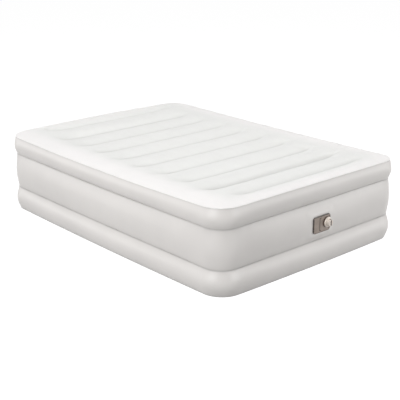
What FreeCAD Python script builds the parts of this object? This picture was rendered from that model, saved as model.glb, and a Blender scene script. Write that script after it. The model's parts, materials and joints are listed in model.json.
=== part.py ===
"""Raised double air bed with a built-in electric pump, built as the separate pieces it is made of.

The frame has +Z up, Y along the bed and X across it. The origin is on the floor, under the middle
of the bed. The pump sits in the wall at the foot end, which faces -Y.
"""
import FreeCAD, Part
import os
import Sketcher
from math import cos, pi, sin
from FreeCAD import Vector

doc = FreeCAD.newDocument("air_bed")
sheet = doc.addObject("Spreadsheet::Sheet", "dims")

DRIVING_SIZES = {
    # The inflated envelope. An inset is counted inwards from the bed's overall outline.
    "mattress_length": 1910, "mattress_width": 1370, "corner_radius": 130,
    "seam_height": 445, "upper_groove_height": 340, "lower_groove_height": 134,
    "groove_inset": 15, "middle_bulge_inset": 7, "upper_bulge_inset": 4,
    "skin": 3,
    # The sleeping surface: a raised border beam round channels that run across the bed.
    "border_height": 465, "border_crown_inset": 50,
    "side_border_width": 200, "end_border_width": 150,
    "channel_count": 9, "channel_height": 440, "crease_height": 411,
    # The beams and girdles inside, which hold the envelope in shape.
    "beam_web": 2, "beam_flange_width": 24, "beam_flange": 2, "girdle": 2,
    "vent_diameter": 30, "side_vents": 6, "end_vents": 3,
    # Clearances.
    "seat_gap": 0.3, "running_gap": 0.05,
    # The pump's place, and its face, gasket and collar.
    "pump_across": 17, "pump_height": 228,
    "face_margin": 6, "face_corner": 15, "face_depth": 6, "face_rounding": 2,
    "gasket": 1.5, "gasket_rim": 5, "collar": 3, "collar_rim": 14,
    # The housing behind the face.
    "housing_width": 114, "housing_height": 76, "housing_depth": 110, "housing_wall": 2.2,
    "housing_corner": 8, "corner_boss": 13, "partition_place": -17.4, "partition": 2,
    "screw_diameter": 3, "screw_length": 16, "screw_head": 5.6, "screw_head_depth": 1.8,
    "screw_inset": 5.6, "inner_screw_inset": 4.9,
    # The cord store and its door.
    "tray_depth": 60, "tray_wall": 1.6, "tray_chamfer": 4,
    "gland_diameter": 10, "gland_flange": 15, "gland_bore": 6,
    "door_width": 40, "door_height": 66, "door_skin": 2.4, "door_gap": 0.6, "door_barrel": 4.8,
    "catch_inset": 1, "catch_thickness": 2, "catch_width": 10,
    "hinge_pin": 2, "pin_seat": 4, "notch_width": 30, "notch_depth": 3.5, "notch_drop": 7,
    # The dial and its valve.
    "dial_across": 34, "dial_rise": 4, "dial_diameter": 54, "dial_flange": 11, "dial_chamfer": 4,
    "dial_recess": 1, "knob_gap": 0.7, "socket_wall": 2,
    "grip_diameter": 35, "grip_reach": 18, "grip_slot": 7, "grip_chamfer": 2, "grip_step": 1,
    "stem_diameter": 10, "journal_diameter": 8,
    "seat_wall": 1.8, "seat_bore": 34.4, "seat_depth": 22, "seat_floor": 2, "seat_hole": 22,
    "rotor_start": 2, "rotor_depth": 14, "rotor_wall": 2, "rotor_floor": 3,
    "inlet_hole": 6, "inlet_circle": 24, "inlet_count": 6,
    "cam_disc": 15, "cam_lobe": 9.6, "lobe_width": 3, "lobe_angle": 60, "cam_depth": 4,
    # The switch that the cam works.
    "switch_width": 20, "switch_height": 9, "switch_depth": 6, "button_gap": 0.7,
    "button_width": 4, "button_travel": 1, "button_depth": 2,
    "tab_pitch": 7, "tab_width": 2, "tab_length": 4, "tab_thickness": 0.8,
    # The blower and its motor.
    "motor_across": 19, "casing_outer": 62, "casing_wall": 2, "casing_start": 30, "casing_depth": 20,
    "eye_diameter": 28, "fan_diameter": 52, "fan_start": 35, "fan_depth": 12, "blade_count": 9,
    "blade_root": 2, "blade_tip": 1.5, "blade_sweep": 6.5, "fan_plate": 2, "blade_clearance": 0.5,
    "bracket": 2, "bracket_hole": 7, "bracket_hole_inset": 4, "bracket_hole_count": 4,
    "can_diameter": 40, "can_wall": 1, "can_depth": 34, "cap_depth": 3,
    "shaft_diameter": 5, "shaft_end": 2, "bush_diameter": 10, "bush_length": 5,
    "armature_diameter": 28, "stack_front": 8, "stack_back": 12, "coil_step": 4, "coil_end": 2,
    "stator_bore": 30, "commutator_diameter": 12, "brush": 4,
    # The check valve in the housing's back wall.
    "check_disc": 28, "check_stem": 4, "check_head": 8, "check_spring_room": 10.6,
    "check_head_depth": 1.5, "check_disc_depth": 2,
    "check_port_circle": 17, "check_port": 7, "check_port_count": 6,
    "spring_wire": 0.7, "spring_turns": 5,
}

for row, (alias, number) in enumerate(DRIVING_SIZES.items(), start=1):
    sheet.set(f"A{row}", alias)
    sheet.set(f"B{row}", str(number))
    sheet.setAlias(f"B{row}", alias)
doc.recompute()


class Size:
    """A length that carries both its present value and the spreadsheet expression behind it."""

    def __init__(self, value, text):
        self.value = value
        self.text = text

    def __add__(self, other):
        other = as_size(other)
        return Size(self.value + other.value, f"({self.text} + {other.text})")

    def __sub__(self, other):
        other = as_size(other)
        return Size(self.value - other.value, f"({self.text} - {other.text})")

    def __mul__(self, other):
        other = as_size(other)
        return Size(self.value * other.value, f"({self.text} * {other.text})")

    def __truediv__(self, other):
        other = as_size(other)
        return Size(self.value / other.value, f"({self.text} / {other.text})")

    def __radd__(self, other):
        return as_size(other) + self

    def __rsub__(self, other):
        return as_size(other) - self

    def __rmul__(self, other):
        return as_size(other) * self

    def __neg__(self):
        return Size(-self.value, f"(0 - {self.text})")

    def root(self):
        return Size(self.value ** 0.5, f"sqrt({self.text})")


def as_size(thing):
    return thing if isinstance(thing, Size) else Size(float(thing), repr(float(thing)))


def size(alias):
    return Size(float(sheet.get(alias)), f"dims.{alias}")


# ---------------------------------------------------------------- bodies, sketches and features

def new_body(label, place=(0, 0, 0)):
    body = doc.addObject("PartDesign::Body", label)
    body.Label = label
    put(body, place)
    return body


def put(piece, place):
    for axis, length in zip("xyz", place):
        length = as_size(length)
        setattr(piece.Placement.Base, axis, length.value)
        piece.setExpression(f"Placement.Base.{axis}", length.text)


def origin_feature(body, role):
    return next(feature for feature in body.Origin.OriginFeatures if feature.Role == role)


def new_sketch(body, role, lift=0):
    sketch = body.newObject("Sketcher::SketchObject", body.Label + "_sketch")
    sketch.AttachmentSupport = [(origin_feature(body, role), "")]
    sketch.MapMode = "FlatFace"
    sketch.setExpression("AttachmentOffset.Base.z", as_size(lift).text)
    return sketch


def fix(sketch, kind, *where_and_size):
    *where, length = where_and_size
    length = as_size(length)
    index = sketch.addConstraint(Sketcher.Constraint(kind, *where, length.value))
    sketch.setExpression(f"Constraints[{index}]", length.text)


def fix_point(sketch, geometry, position, x, y):
    fix(sketch, "DistanceX", -1, 1, geometry, position, x)
    fix(sketch, "DistanceY", -1, 1, geometry, position, y)


def draw_polygon(sketch, points):
    points = [(as_size(x), as_size(y)) for x, y in points]
    corners = [Vector(x.value, y.value, 0) for x, y in points]
    following = corners[1:] + corners[:1]
    lines = sketch.addGeometry([Part.LineSegment(a, b) for a, b in zip(corners, following)])
    for line, after in zip(lines, list(lines[1:]) + [lines[0]]):
        sketch.addConstraint(Sketcher.Constraint("Coincident", line, 2, after, 1))
    for line, (x, y) in zip(lines, points):
        fix_point(sketch, line, 1, x, y)


def draw_rectangle(sketch, x_low, x_high, y_low, y_high):
    draw_polygon(sketch, [(x_low, y_low), (x_high, y_low), (x_high, y_high), (x_low, y_high)])


def draw_circle(sketch, x, y, diameter):
    x, y, diameter = as_size(x), as_size(y), as_size(diameter)
    circle = Part.Circle(Vector(x.value, y.value, 0), Vector(0, 0, 1), diameter.value / 2)
    index = sketch.addGeometry(circle)
    fix(sketch, "Diameter", index, diameter)
    fix_point(sketch, index, 3, x, y)


def draw_hole_ring(sketch, x, y, ring_diameter, count, diameter, start_angle=0):
    """Equal holes, evenly spaced on a circle about (x, y)."""
    ring_radius = as_size(ring_diameter) / 2
    for number in range(int(count.value)):
        angle = start_angle + number * 2 * pi / int(count.value)
        draw_circle(sketch, x + ring_radius * cos(angle), y + ring_radius * sin(angle), diameter)


def draw_rounded_rectangle(sketch, width, height, radius, x=0, y=0):
    """Four sides and four corner arcs, each corner's centre and each end fixed from the sizes."""
    half_width, half_height, radius = as_size(width) / 2, as_size(height) / 2, as_size(radius)
    x, y = as_size(x), as_size(y)
    arcs = []
    for quarter, (across, up) in enumerate([(1, 1), (-1, 1), (-1, -1), (1, -1)]):
        centre_x = x + across * (half_width - radius)
        centre_y = y + up * (half_height - radius)
        circle = Part.Circle(Vector(centre_x.value, centre_y.value, 0), Vector(0, 0, 1), radius.value)
        start = quarter * pi / 2
        arc = sketch.addGeometry(Part.ArcOfCircle(circle, start, start + pi / 2))
        fix_point(sketch, arc, 3, centre_x, centre_y)
        fix(sketch, "Radius", arc, radius)
        arcs.append(arc)
    for arc, after in zip(arcs, arcs[1:] + arcs[:1]):
        start = sketch.getPoint(arc, 2)
        end = sketch.getPoint(after, 1)
        line = sketch.addGeometry(Part.LineSegment(start, end))
        sketch.addConstraint(Sketcher.Constraint("Tangent", arc, 2, line, 1))
        sketch.addConstraint(Sketcher.Constraint("Tangent", line, 2, after, 1))


def draw_shell_arc(sketch, centre_x, centre_y, radius, thickness, ends, upright):
    """The section of a curved sheet: two arcs about one centre, cut off square at both ends.

    Upright sheets bulge towards +X and end at two heights. Lying sheets bulge upwards and end
    at two widths.
    """
    centre_x, centre_y, radius = as_size(centre_x), as_size(centre_y), as_size(radius)
    low, high = as_size(ends[0]), as_size(ends[1])
    centre = Vector(centre_x.value, centre_y.value, 0)
    outer_ends = []
    arcs = []
    for reach in (radius, radius - thickness):
        corners = []
        for end in (low, high):
            if upright:
                rise = end.value - centre.y
                corners.append(Vector(centre.x + (reach.value ** 2 - rise ** 2) ** 0.5, end.value, 0))
            else:
                run = end.value - centre.x
                corners.append(Vector(end.value, centre.y + (reach.value ** 2 - run ** 2) ** 0.5, 0))
        crown = centre + (Vector(reach.value, 0, 0) if upright else Vector(0, reach.value, 0))
        if not (low.value <= (centre.y if upright else centre.x) <= high.value):
            middle = (corners[0] + corners[1]) / 2 - centre
            crown = centre + middle * (reach.value / middle.Length)
        arc = sketch.addGeometry(Part.Arc(corners[0], crown, corners[1]))
        fix(sketch, "Radius", arc, reach)
        arcs.append(arc)
        outer_ends.append(corners)
    fix_point(sketch, arcs[0], 3, centre_x, centre_y)
    sketch.addConstraint(Sketcher.Constraint("Coincident", arcs[0], 3, arcs[1], 3))
    kind = "DistanceY" if upright else "DistanceX"
    for end, length in enumerate((low, high)):
        near, far = outer_ends[0][end], outer_ends[1][end]
        line = sketch.addGeometry(Part.LineSegment(near, far))
        for point, arc in ((1, arcs[0]), (2, arcs[1])):
            start = sketch.getPoint(arc, 1)
            position = 1 if (start - sketch.getPoint(line, point)).Length < 1e-6 else 2
            sketch.addConstraint(Sketcher.Constraint("Coincident", line, point, arc, position))
            fix(sketch, kind, -1, 1, arc, position, length)


def pad(body, sketch, length, inwards=False, middle=False):
    """Pads along the sketch's normal, or against it when inwards is set."""
    feature = body.newObject("PartDesign::Pad", body.Label + "_pad")
    feature.Profile = sketch
    feature.setExpression("Length", as_size(length).text)
    feature.Reversed = inwards
    feature.Midplane = middle
    sketch.Visibility = False
    doc.recompute()
    return feature


def pocket(body, sketch, length, against=False, middle=False):
    """Cuts against the sketch's normal, or along it when against is set."""
    before = body.Shape.Volume
    feature = body.newObject("PartDesign::Pocket", body.Label + "_pocket")
    feature.Profile = sketch
    feature.setExpression("Length", as_size(length).text)
    feature.Reversed = against
    feature.Midplane = middle
    doc.recompute()
    if not body.Shape.Volume < before - 0.01:
        raise RuntimeError(f"{feature.Label} cuts nothing")
    return feature


def turn(body, points, role="XY_Plane", axis="V_Axis"):
    """Revolves an outline of (radius, distance along the axis) points."""
    sketch = new_sketch(body, role)
    draw_polygon(sketch, points)
    feature = body.newObject("PartDesign::Revolution", body.Label + "_turned")
    feature.Profile = sketch
    feature.ReferenceAxis = (sketch, [axis])
    feature.Angle = 360
    doc.recompute()
    return feature


def turned_body(label, place, points):
    body = new_body(label, place)
    turn(body, points)
    return body


def polar(body, feature, count, role="Y_Axis"):
    pattern = body.newObject("PartDesign::PolarPattern", body.Label + "_pattern")
    pattern.Originals = [feature]
    pattern.Axis = (origin_feature(body, role), [""])
    pattern.Angle = 360
    pattern.setExpression("Occurrences", as_size(count).text)
    body.Tip = pattern
    doc.recompute()
    return pattern


# ---------------------------------------------------------------- the envelope

half_length = size("mattress_length") / 2
half_width = size("mattress_width") / 2
corner = size("corner_radius")
skin = size("skin")
girdle = size("girdle")
groove_inset = size("groove_inset")
gap = size("seat_gap")
running = size("running_gap")
beam_reach = half_width - size("side_border_width")
channel_reach = half_length - size("end_border_width")
channel_pitch = 2 * channel_reach / size("channel_count")


def outline_at(sketch, inset):
    """The bed's rounded outline, set in from its overall size."""
    inset = as_size(inset)
    draw_rounded_rectangle(sketch, 2 * (half_width - inset), 2 * (half_length - inset), corner - inset)


def sweep_round_bed(body, profile):
    spine = new_sketch(body, "XY_Plane")
    outline_at(spine, 0)
    doc.recompute()
    ring = body.newObject("PartDesign::AdditivePipe", body.Label + "_sweep")
    ring.Profile = (profile, [""])
    ring.Spine = spine
    doc.recompute()
    return ring


def arch_radius(half_span, rise):
    return (half_span * half_span + rise * rise) / (2 * rise)


def wall_radius(low, high, bulge_inset):
    return arch_radius((high - low) / 2, groove_inset - bulge_inset)


def make_wall_tier(label, low, high, bulge_inset):
    """One tier of the side wall, which bulges out between the two lines that hold it in."""
    body = new_body(label)
    radius = wall_radius(low, high, as_size(bulge_inset))
    profile = new_sketch(body, "XZ_Plane")
    centre_x = half_width - bulge_inset - radius
    draw_shell_arc(profile, centre_x, (low + high) / 2, radius, skin, (low, high), upright=True)
    sweep_round_bed(body, profile)
    return body


lower_line = size("lower_groove_height")
upper_line = size("upper_groove_height")
middle_low = lower_line + girdle / 2
middle_high = upper_line - girdle / 2
middle_inset = size("middle_bulge_inset")
middle_radius = wall_radius(middle_low, middle_high, middle_inset)
middle_centre_height = (middle_low + middle_high) / 2

make_wall_tier("wall_lower", skin, lower_line - girdle / 2, 0)
wall_middle = make_wall_tier("wall_middle", middle_low, middle_high, middle_inset)
make_wall_tier("wall_upper", upper_line + girdle / 2, size("seam_height"), size("upper_bulge_inset"))


def make_bottom_sheet():
    body = new_body("bottom_sheet")
    sketch = new_sketch(body, "XY_Plane")
    outline_at(sketch, groove_inset)
    pad(body, sketch, skin)


def make_girdle(label, height):
    """A flat ring that ties the wall to the beams and leaves the air a way through its vents."""
    body = new_body(label)
    sketch = new_sketch(body, "XY_Plane", height - girdle / 2)
    outline_at(sketch, groove_inset)
    inner_reach = channel_reach + size("beam_web") / 2 + gap
    draw_rectangle(sketch, -beam_reach, beam_reach, -inner_reach, inner_reach)
    pad(body, sketch, girdle)
    vents = new_sketch(body, "XY_Plane", height + girdle)
    side_line = (half_width - groove_inset + beam_reach) / 2
    end_line = (half_length - groove_inset + inner_reach) / 2
    for line, reach, count, along_bed in (
        (side_line, channel_reach, size("side_vents"), True),
        (end_line, beam_reach, size("end_vents"), False),
    ):
        for place in range(int(count.value)):
            along = reach * 2 * (place + 0.5) / count - reach
            for side in (-1, 1):
                x, y = (side * line, along) if along_bed else (along, side * line)
                draw_circle(vents, x, y, size("vent_diameter"))
    pocket(body, vents, 3 * girdle)


def make_top_sheet():
    """The flocked sleeping surface: a domed border, and channels sunk between creases."""
    body = new_body("top_sheet")
    seam = size("seam_height")
    rise = size("border_height") - seam
    run = size("border_crown_inset") - groove_inset
    radius = arch_radius(run, rise)
    deck = size("channel_height")
    deck_low = deck - skin
    drop = radius - (size("border_height") - deck_low)
    reach = (radius * radius - drop * drop).root()
    crown = half_width - size("border_crown_inset")
    centre_height = size("border_height") - radius
    border = new_sketch(body, "XZ_Plane")
    draw_border(border, crown, centre_height, radius, seam, deck_low, run, reach)
    sweep_round_bed(body, border)

    shelf = new_sketch(body, "XY_Plane", deck_low)
    outline_at(shelf, size("border_crown_inset") + reach - skin)
    pad(body, shelf, skin)
    well = new_sketch(body, "XY_Plane", deck)
    draw_rectangle(well, -beam_reach, beam_reach, -channel_reach, channel_reach)
    pocket(body, well, skin)
    curb = new_sketch(body, "XY_Plane", crease_underside())
    draw_rectangle(curb, -beam_reach, beam_reach, -channel_reach, channel_reach)
    inner_x, inner_y = beam_reach - skin, channel_reach - skin
    draw_rectangle(curb, -inner_x, inner_x, -inner_y, inner_y)
    pad(body, curb, deck - crease_underside())

    arch = new_sketch(body, "YZ_Plane")
    bend = arch_radius(channel_pitch / 2, deck - size("crease_height"))
    first = channel_pitch / 2 - channel_reach
    ends = (first - channel_pitch / 2, first + channel_pitch / 2)
    draw_shell_arc(arch, first, deck - bend, bend, skin, ends, upright=False)
    channel = pad(body, arch, 2 * beam_reach - skin, middle=True)
    pattern = body.newObject("PartDesign::LinearPattern", "channels")
    pattern.Originals = [channel]
    pattern.Direction = (origin_feature(body, "Y_Axis"), [""])
    pattern.setExpression("Length", (2 * channel_reach - channel_pitch).text)
    pattern.setExpression("Occurrences", "dims.channel_count")
    body.Tip = pattern
    doc.recompute()


def draw_border(sketch, crown, centre_height, radius, outer_height, inner_height, run, reach):
    """The border beam's section, from the seam over the crown down to the deck inside it."""
    thin = radius - skin
    ends = []
    for bend in (radius, thin):
        outer_drop = outer_height - centre_height
        inner_drop = inner_height - centre_height
        outer = crown + (bend * bend - outer_drop * outer_drop).root()
        inner = crown - (bend * bend - inner_drop * inner_drop).root()
        ends.append(((outer, outer_height), (inner, inner_height)))
    arcs = []
    for bend, (outer, inner) in zip((radius, thin), ends):
        top = Vector(crown.value, centre_height.value + bend.value, 0)
        start, end = (Vector(x.value, y.value, 0) for x, y in (outer, inner))
        arc = sketch.addGeometry(Part.Arc(start, top, end))
        arcs.append((arc, start, end))
        fix(sketch, "Radius", arc, bend)
    fix_point(sketch, arcs[0][0], 3, crown, centre_height)
    sketch.addConstraint(Sketcher.Constraint("Coincident", arcs[0][0], 3, arcs[1][0], 3))
    for end, height in ((1, outer_height), (2, inner_height)):
        line = sketch.addGeometry(Part.LineSegment(arcs[0][end], arcs[1][end]))
        for point, (arc, start, _) in ((1, arcs[0]), (2, arcs[1])):
            position = 1 if (sketch.getPoint(arc, 1) - sketch.getPoint(line, point)).Length < 1e-6 else 2
            sketch.addConstraint(Sketcher.Constraint("Coincident", line, point, arc, position))
            fix(sketch, "DistanceY", -1, 1, arc, position, height)


def crease_underside():
    """The height at which the undersides of two neighbouring channels meet."""
    deck = size("channel_height")
    bend = arch_radius(channel_pitch / 2, deck - size("crease_height"))
    inner = bend - skin
    return deck - bend + (inner * inner - channel_pitch * channel_pitch / 4).root()


def make_cross_beams():
    """A web under every crease, with a flange welded to the sheet above and the sheet below."""
    count = int(size("channel_count").value) + 1
    half_web, half_flange = size("beam_web") / 2, size("beam_flange_width") / 2
    flange = size("beam_flange")
    low, high = skin, crease_underside() - gap
    for number in range(count):
        place = number * channel_pitch - channel_reach
        body = new_body(f"cross_beam_{number + 1}", (0, place, 0))
        sketch = new_sketch(body, "YZ_Plane")
        right = [(half_flange, low), (half_flange, low + flange), (half_web, low + flange),
                 (half_web, high - flange), (half_flange, high - flange), (half_flange, high)]
        left = [(-y, z) for y, z in reversed(right)]
        draw_polygon(sketch, right + left)
        pad(body, sketch, 2 * (beam_reach - gap), middle=True)


make_bottom_sheet()
make_girdle("girdle_lower", lower_line)
make_girdle("girdle_upper", upper_line)
make_top_sheet()
make_cross_beams()

# ---------------------------------------------------------------- the pump's shell
# The pump's own frame stands where the middle tier bulges furthest, with Y going into the bed.

SAW_START = 1  # how far outside the material a cut starts

pump_x = size("pump_across")
pump_y = middle_inset - half_length
pump_z = size("pump_height")
face_back = -size("gasket")
face_front = face_back - size("face_depth")
housing_width, housing_height = size("housing_width"), size("housing_height")
face_width = housing_width + 2 * size("face_margin")
face_height = housing_height + 2 * size("face_margin")
housing_wall = size("housing_wall")
cavity_x = housing_width / 2 - housing_wall
cavity_z = housing_height / 2 - housing_wall
boss_leg = size("corner_boss")
partition_left = size("partition_place") - size("partition") / 2
partition_right = size("partition_place") + size("partition") / 2
housing_back = face_back + size("housing_depth")


def pump_body(label, x=0, y=0, z=0):
    return new_body(label, (pump_x + x, pump_y + y, pump_z + z))


def facing_sketch(body, distance=0):
    """A sketch that faces out of the pump, a distance in from the body's own origin."""
    return new_sketch(body, "XZ_Plane", -as_size(distance))


def cut_wall_for_pump():
    sketch = new_sketch(wall_middle, "XZ_Plane", half_length + skin)
    width, height = housing_width + 2 * gap, housing_height + 2 * gap
    draw_rounded_rectangle(sketch, width, height, size("housing_corner") + gap, pump_x, pump_z)
    pocket(wall_middle, sketch, 12 * skin)


def make_ring_block(label, rim, front, back):
    body = pump_body(label)
    sketch = facing_sketch(body, front)
    bore_width, bore_height = housing_width + 2 * gap, housing_height + 2 * gap
    bore_corner = size("housing_corner") + gap
    draw_rounded_rectangle(sketch, bore_width + 2 * rim, bore_height + 2 * rim, bore_corner + rim)
    draw_rounded_rectangle(sketch, bore_width, bore_height, bore_corner)
    pad(body, sketch, back - front, inwards=True)
    return body


def make_wall_form(label, radius):
    """A cylinder that follows the wall's bulge, for the pieces that lie against the wall."""
    form = doc.addObject("Part::Cylinder", label)
    form.setExpression("Radius", radius.text)
    form.setExpression("Height", housing_width.text + " * 2")
    form.Placement = FreeCAD.Placement(Vector(), FreeCAD.Rotation(Vector(0, 1, 0), 90))
    put(form, (pump_x - housing_width, pump_y + middle_radius, middle_centre_height))
    return form


def combine(kind, label, base, tool):
    result = doc.addObject(kind, label)
    result.Label = label
    result.Base = base
    result.Tool = tool
    return result


def make_wall_rings():
    outside = make_wall_form("wall_outside", middle_radius + gap)
    inside = make_wall_form("wall_inside", middle_radius - skin - gap)
    gasket_rim = size("gasket_rim") - gap
    gasket_block = make_ring_block("gasket_block", gasket_rim, face_back, 4 * skin)
    combine("Part::Cut", "pump_gasket", gasket_block, outside)
    front = skin + gap
    collar_block = make_ring_block("collar_block", size("collar_rim"), front, front + 3 * size("collar"))
    combine("Part::Common", "pump_collar", collar_block, inside)


def draw_cavity(sketch, x_low, x_high, half_height, leg):
    """A rectangle whose four corners are cut off, as for the screw bosses."""
    top = [(x_low, half_height - leg), (x_low + leg, half_height),
           (x_high - leg, half_height), (x_high, half_height - leg)]
    bottom = [(x, -z) for x, z in reversed(top)]
    draw_polygon(sketch, top + bottom)


def make_housing():
    body = pump_body("pump_housing")
    outside = facing_sketch(body, face_back)
    draw_rounded_rectangle(outside, housing_width, housing_height, size("housing_corner"))
    pad(body, outside, size("housing_depth"), inwards=True)
    cavity = facing_sketch(body, face_back)
    draw_cavity(cavity, -cavity_x, partition_left, cavity_z, size("tray_chamfer"))
    pocket(body, cavity, size("housing_depth") - housing_wall)
    cavity = facing_sketch(body, face_back)
    draw_cavity(cavity, partition_right, cavity_x, cavity_z, boss_leg)
    pocket(body, cavity, size("housing_depth") - housing_wall)
    ports = facing_sketch(body, housing_back - 2 * housing_wall)
    draw_circle(ports, motor_x, 0, size("check_stem") + 2 * running)
    draw_hole_ring(ports, motor_x, 0, size("check_port_circle"), size("check_port_count"), size("check_port"))
    pocket(body, ports, 3 * housing_wall)
    pilots = facing_sketch(body, face_back)
    draw_screw_circles(pilots, size("screw_diameter") + 2 * running)
    pocket(body, pilots, size("screw_length"))


def screw_places():
    """Two screws at the housing's outer corners and two beside the partition."""
    outer = housing_width / 2 - size("screw_inset")
    inner = partition_right + size("inner_screw_inset")
    up = housing_height / 2 - size("screw_inset")
    return [(across, height * up) for across in (inner, outer) for height in (-1, 1)]


def draw_screw_circles(sketch, diameter):
    for across, height in screw_places():
        draw_circle(sketch, across, height, diameter)


motor_x = size("motor_across")
dial_x, dial_z = size("dial_across"), size("dial_rise")
door_half = size("door_height") / 2
hinge_x = partition_left
hinge_y = face_front + size("door_barrel") / 2
stem_radius = size("stem_diameter") / 2


def make_faceplate():
    body = pump_body("faceplate")
    outline = facing_sketch(body, face_back)
    draw_rounded_rectangle(outline, face_width, face_height, size("face_corner"))
    plate = pad(body, outline, size("face_depth"))
    front = face_front.value
    rim = [f"Edge{number}" for number, edge in enumerate(plate.Shape.Edges, start=1)
           if all(abs(vertex.Point.y - front) < 0.01 for vertex in edge.Vertexes)]
    rounding = body.newObject("PartDesign::Fillet", "faceplate_rounding")
    rounding.Base = (plate, rim)
    rounding.setExpression("Radius", "dims.face_rounding")
    doc.recompute()
    ahead = face_front - SAW_START
    opening = facing_sketch(body, ahead)
    left = hinge_x - size("door_width") - size("door_gap")
    right = hinge_x + size("door_barrel") / 2 + size("door_gap")
    up = door_half + size("door_gap")
    draw_rectangle(opening, left, right, -up, up)
    pocket(body, opening, 2 * size("face_depth"))
    holes = facing_sketch(body, ahead)
    draw_circle(holes, dial_x, dial_z, size("stem_diameter") + 2 * running)
    draw_hole_ring(holes, dial_x, dial_z, size("inlet_circle"), size("inlet_count"), size("inlet_hole"))
    draw_screw_circles(holes, size("screw_diameter") + 2 * gap)
    pocket(body, holes, 2 * size("face_depth"))
    heads = facing_sketch(body, ahead)
    draw_screw_circles(heads, size("screw_head") + 2 * gap)
    pocket(body, heads, SAW_START + size("screw_head_depth") + gap)
    recess = facing_sketch(body, ahead)
    draw_circle(recess, dial_x, dial_z, size("dial_diameter") + 4 * gap)
    pocket(body, recess, SAW_START + size("dial_recess"))
    pin_bore = new_sketch(body, "XY_Plane")
    draw_circle(pin_bore, hinge_x, hinge_y, size("hinge_pin") + 2 * running)
    pocket(body, pin_bore, 2 * (up + size("pin_seat")), middle=True)
    notch = facing_sketch(body, ahead)
    notch_low = -size("notch_drop") - size("notch_width") / 2
    notch_high = notch_low + size("notch_width")
    draw_rectangle(notch, -face_width / 2 - SAW_START, left + SAW_START, notch_low, notch_high)
    pocket(body, notch, SAW_START + size("notch_depth"))


def make_screws():
    """Four alike, as one piece: pan head and shank."""
    shank_end = face_back + size("screw_length") - gap
    head_back = face_front + size("screw_head_depth")
    head, shank = size("screw_head") / 2, size("screw_diameter") / 2
    screws = [
        turned_body("screw", (pump_x + across, pump_y, pump_z + height), [
            (0, face_front + gap), (head, face_front + gap), (head, head_back), (shank, head_back),
            (shank, shank_end), (0, shank_end)])
        for across, height in screw_places()]
    group = doc.addObject("Part::Compound", "faceplate_screws")
    group.Label = "faceplate_screws"
    group.Links = screws


def make_cord_store():
    tray = pump_body("cord_tray")
    wall = size("tray_wall")
    x_low, x_high = gap - cavity_x, partition_left - gap
    half_height = cavity_z - gap
    outside = facing_sketch(tray, face_back)
    draw_cavity(outside, x_low, x_high, half_height, size("tray_chamfer"))
    pad(tray, outside, size("tray_depth"), inwards=True)
    inside = facing_sketch(tray, face_back)
    draw_cavity(inside, x_low + wall, x_high - wall, half_height - wall, size("tray_chamfer"))
    pocket(tray, inside, size("tray_depth") - wall)
    gland_x = (x_low + x_high) / 2
    tray_back = face_back + size("tray_depth")
    hole = facing_sketch(tray, tray_back - 2 * wall)
    draw_circle(hole, gland_x, 0, size("gland_diameter"))
    pocket(tray, hole, 3 * wall)

    neck, flange, bore = (size(name) / 2 for name in ("gland_diameter", "gland_flange", "gland_bore"))
    front, back = -wall - running, running
    turned_body("cord_gland", (pump_x + gland_x, pump_y + tray_back, pump_z), [
        (bore, front - wall), (flange, front - wall), (flange, front), (neck - running, front),
        (neck - running, back), (flange, back), (flange, back + wall), (bore, back + 2 * wall)])


def make_door():
    """The cord store's door, in a frame on its hinge pin, closed and flush with the faceplate."""
    door = pump_body("cord_door", hinge_x, hinge_y)
    plate_front = face_front - hinge_y
    plate = facing_sketch(door, plate_front)
    width, height = size("door_width"), 2 * door_half
    draw_rectangle(plate, -width, 0, -height / 2, height / 2)
    pad(door, plate, size("door_skin"), inwards=True)
    barrel = new_sketch(door, "XY_Plane")
    draw_circle(barrel, 0, 0, size("door_barrel"))
    pad(door, barrel, height, middle=True)
    catch = facing_sketch(door, plate_front + size("door_skin"))
    catch_edge = size("catch_inset") - width
    catch_half = size("catch_width") / 2
    draw_rectangle(catch, catch_edge, catch_edge + size("catch_thickness"), -catch_half, catch_half)
    pad(door, catch, size("door_skin"), inwards=True)
    bore = new_sketch(door, "XY_Plane")
    draw_circle(bore, 0, 0, size("hinge_pin") + 2 * running)
    pocket(door, bore, height + 2 * SAW_START, middle=True)

    pin = pump_body("door_hinge_pin", hinge_x, hinge_y)
    round_bar = new_sketch(pin, "XY_Plane")
    draw_circle(round_bar, 0, 0, size("hinge_pin"))
    pad(pin, round_bar, 2 * (door_half + size("door_gap") + size("pin_seat") - gap), middle=True)


# ---------------------------------------------------------------- the dial and its valve

def dial_place():
    return (pump_x + dial_x, pump_y, pump_z + dial_z)


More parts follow.
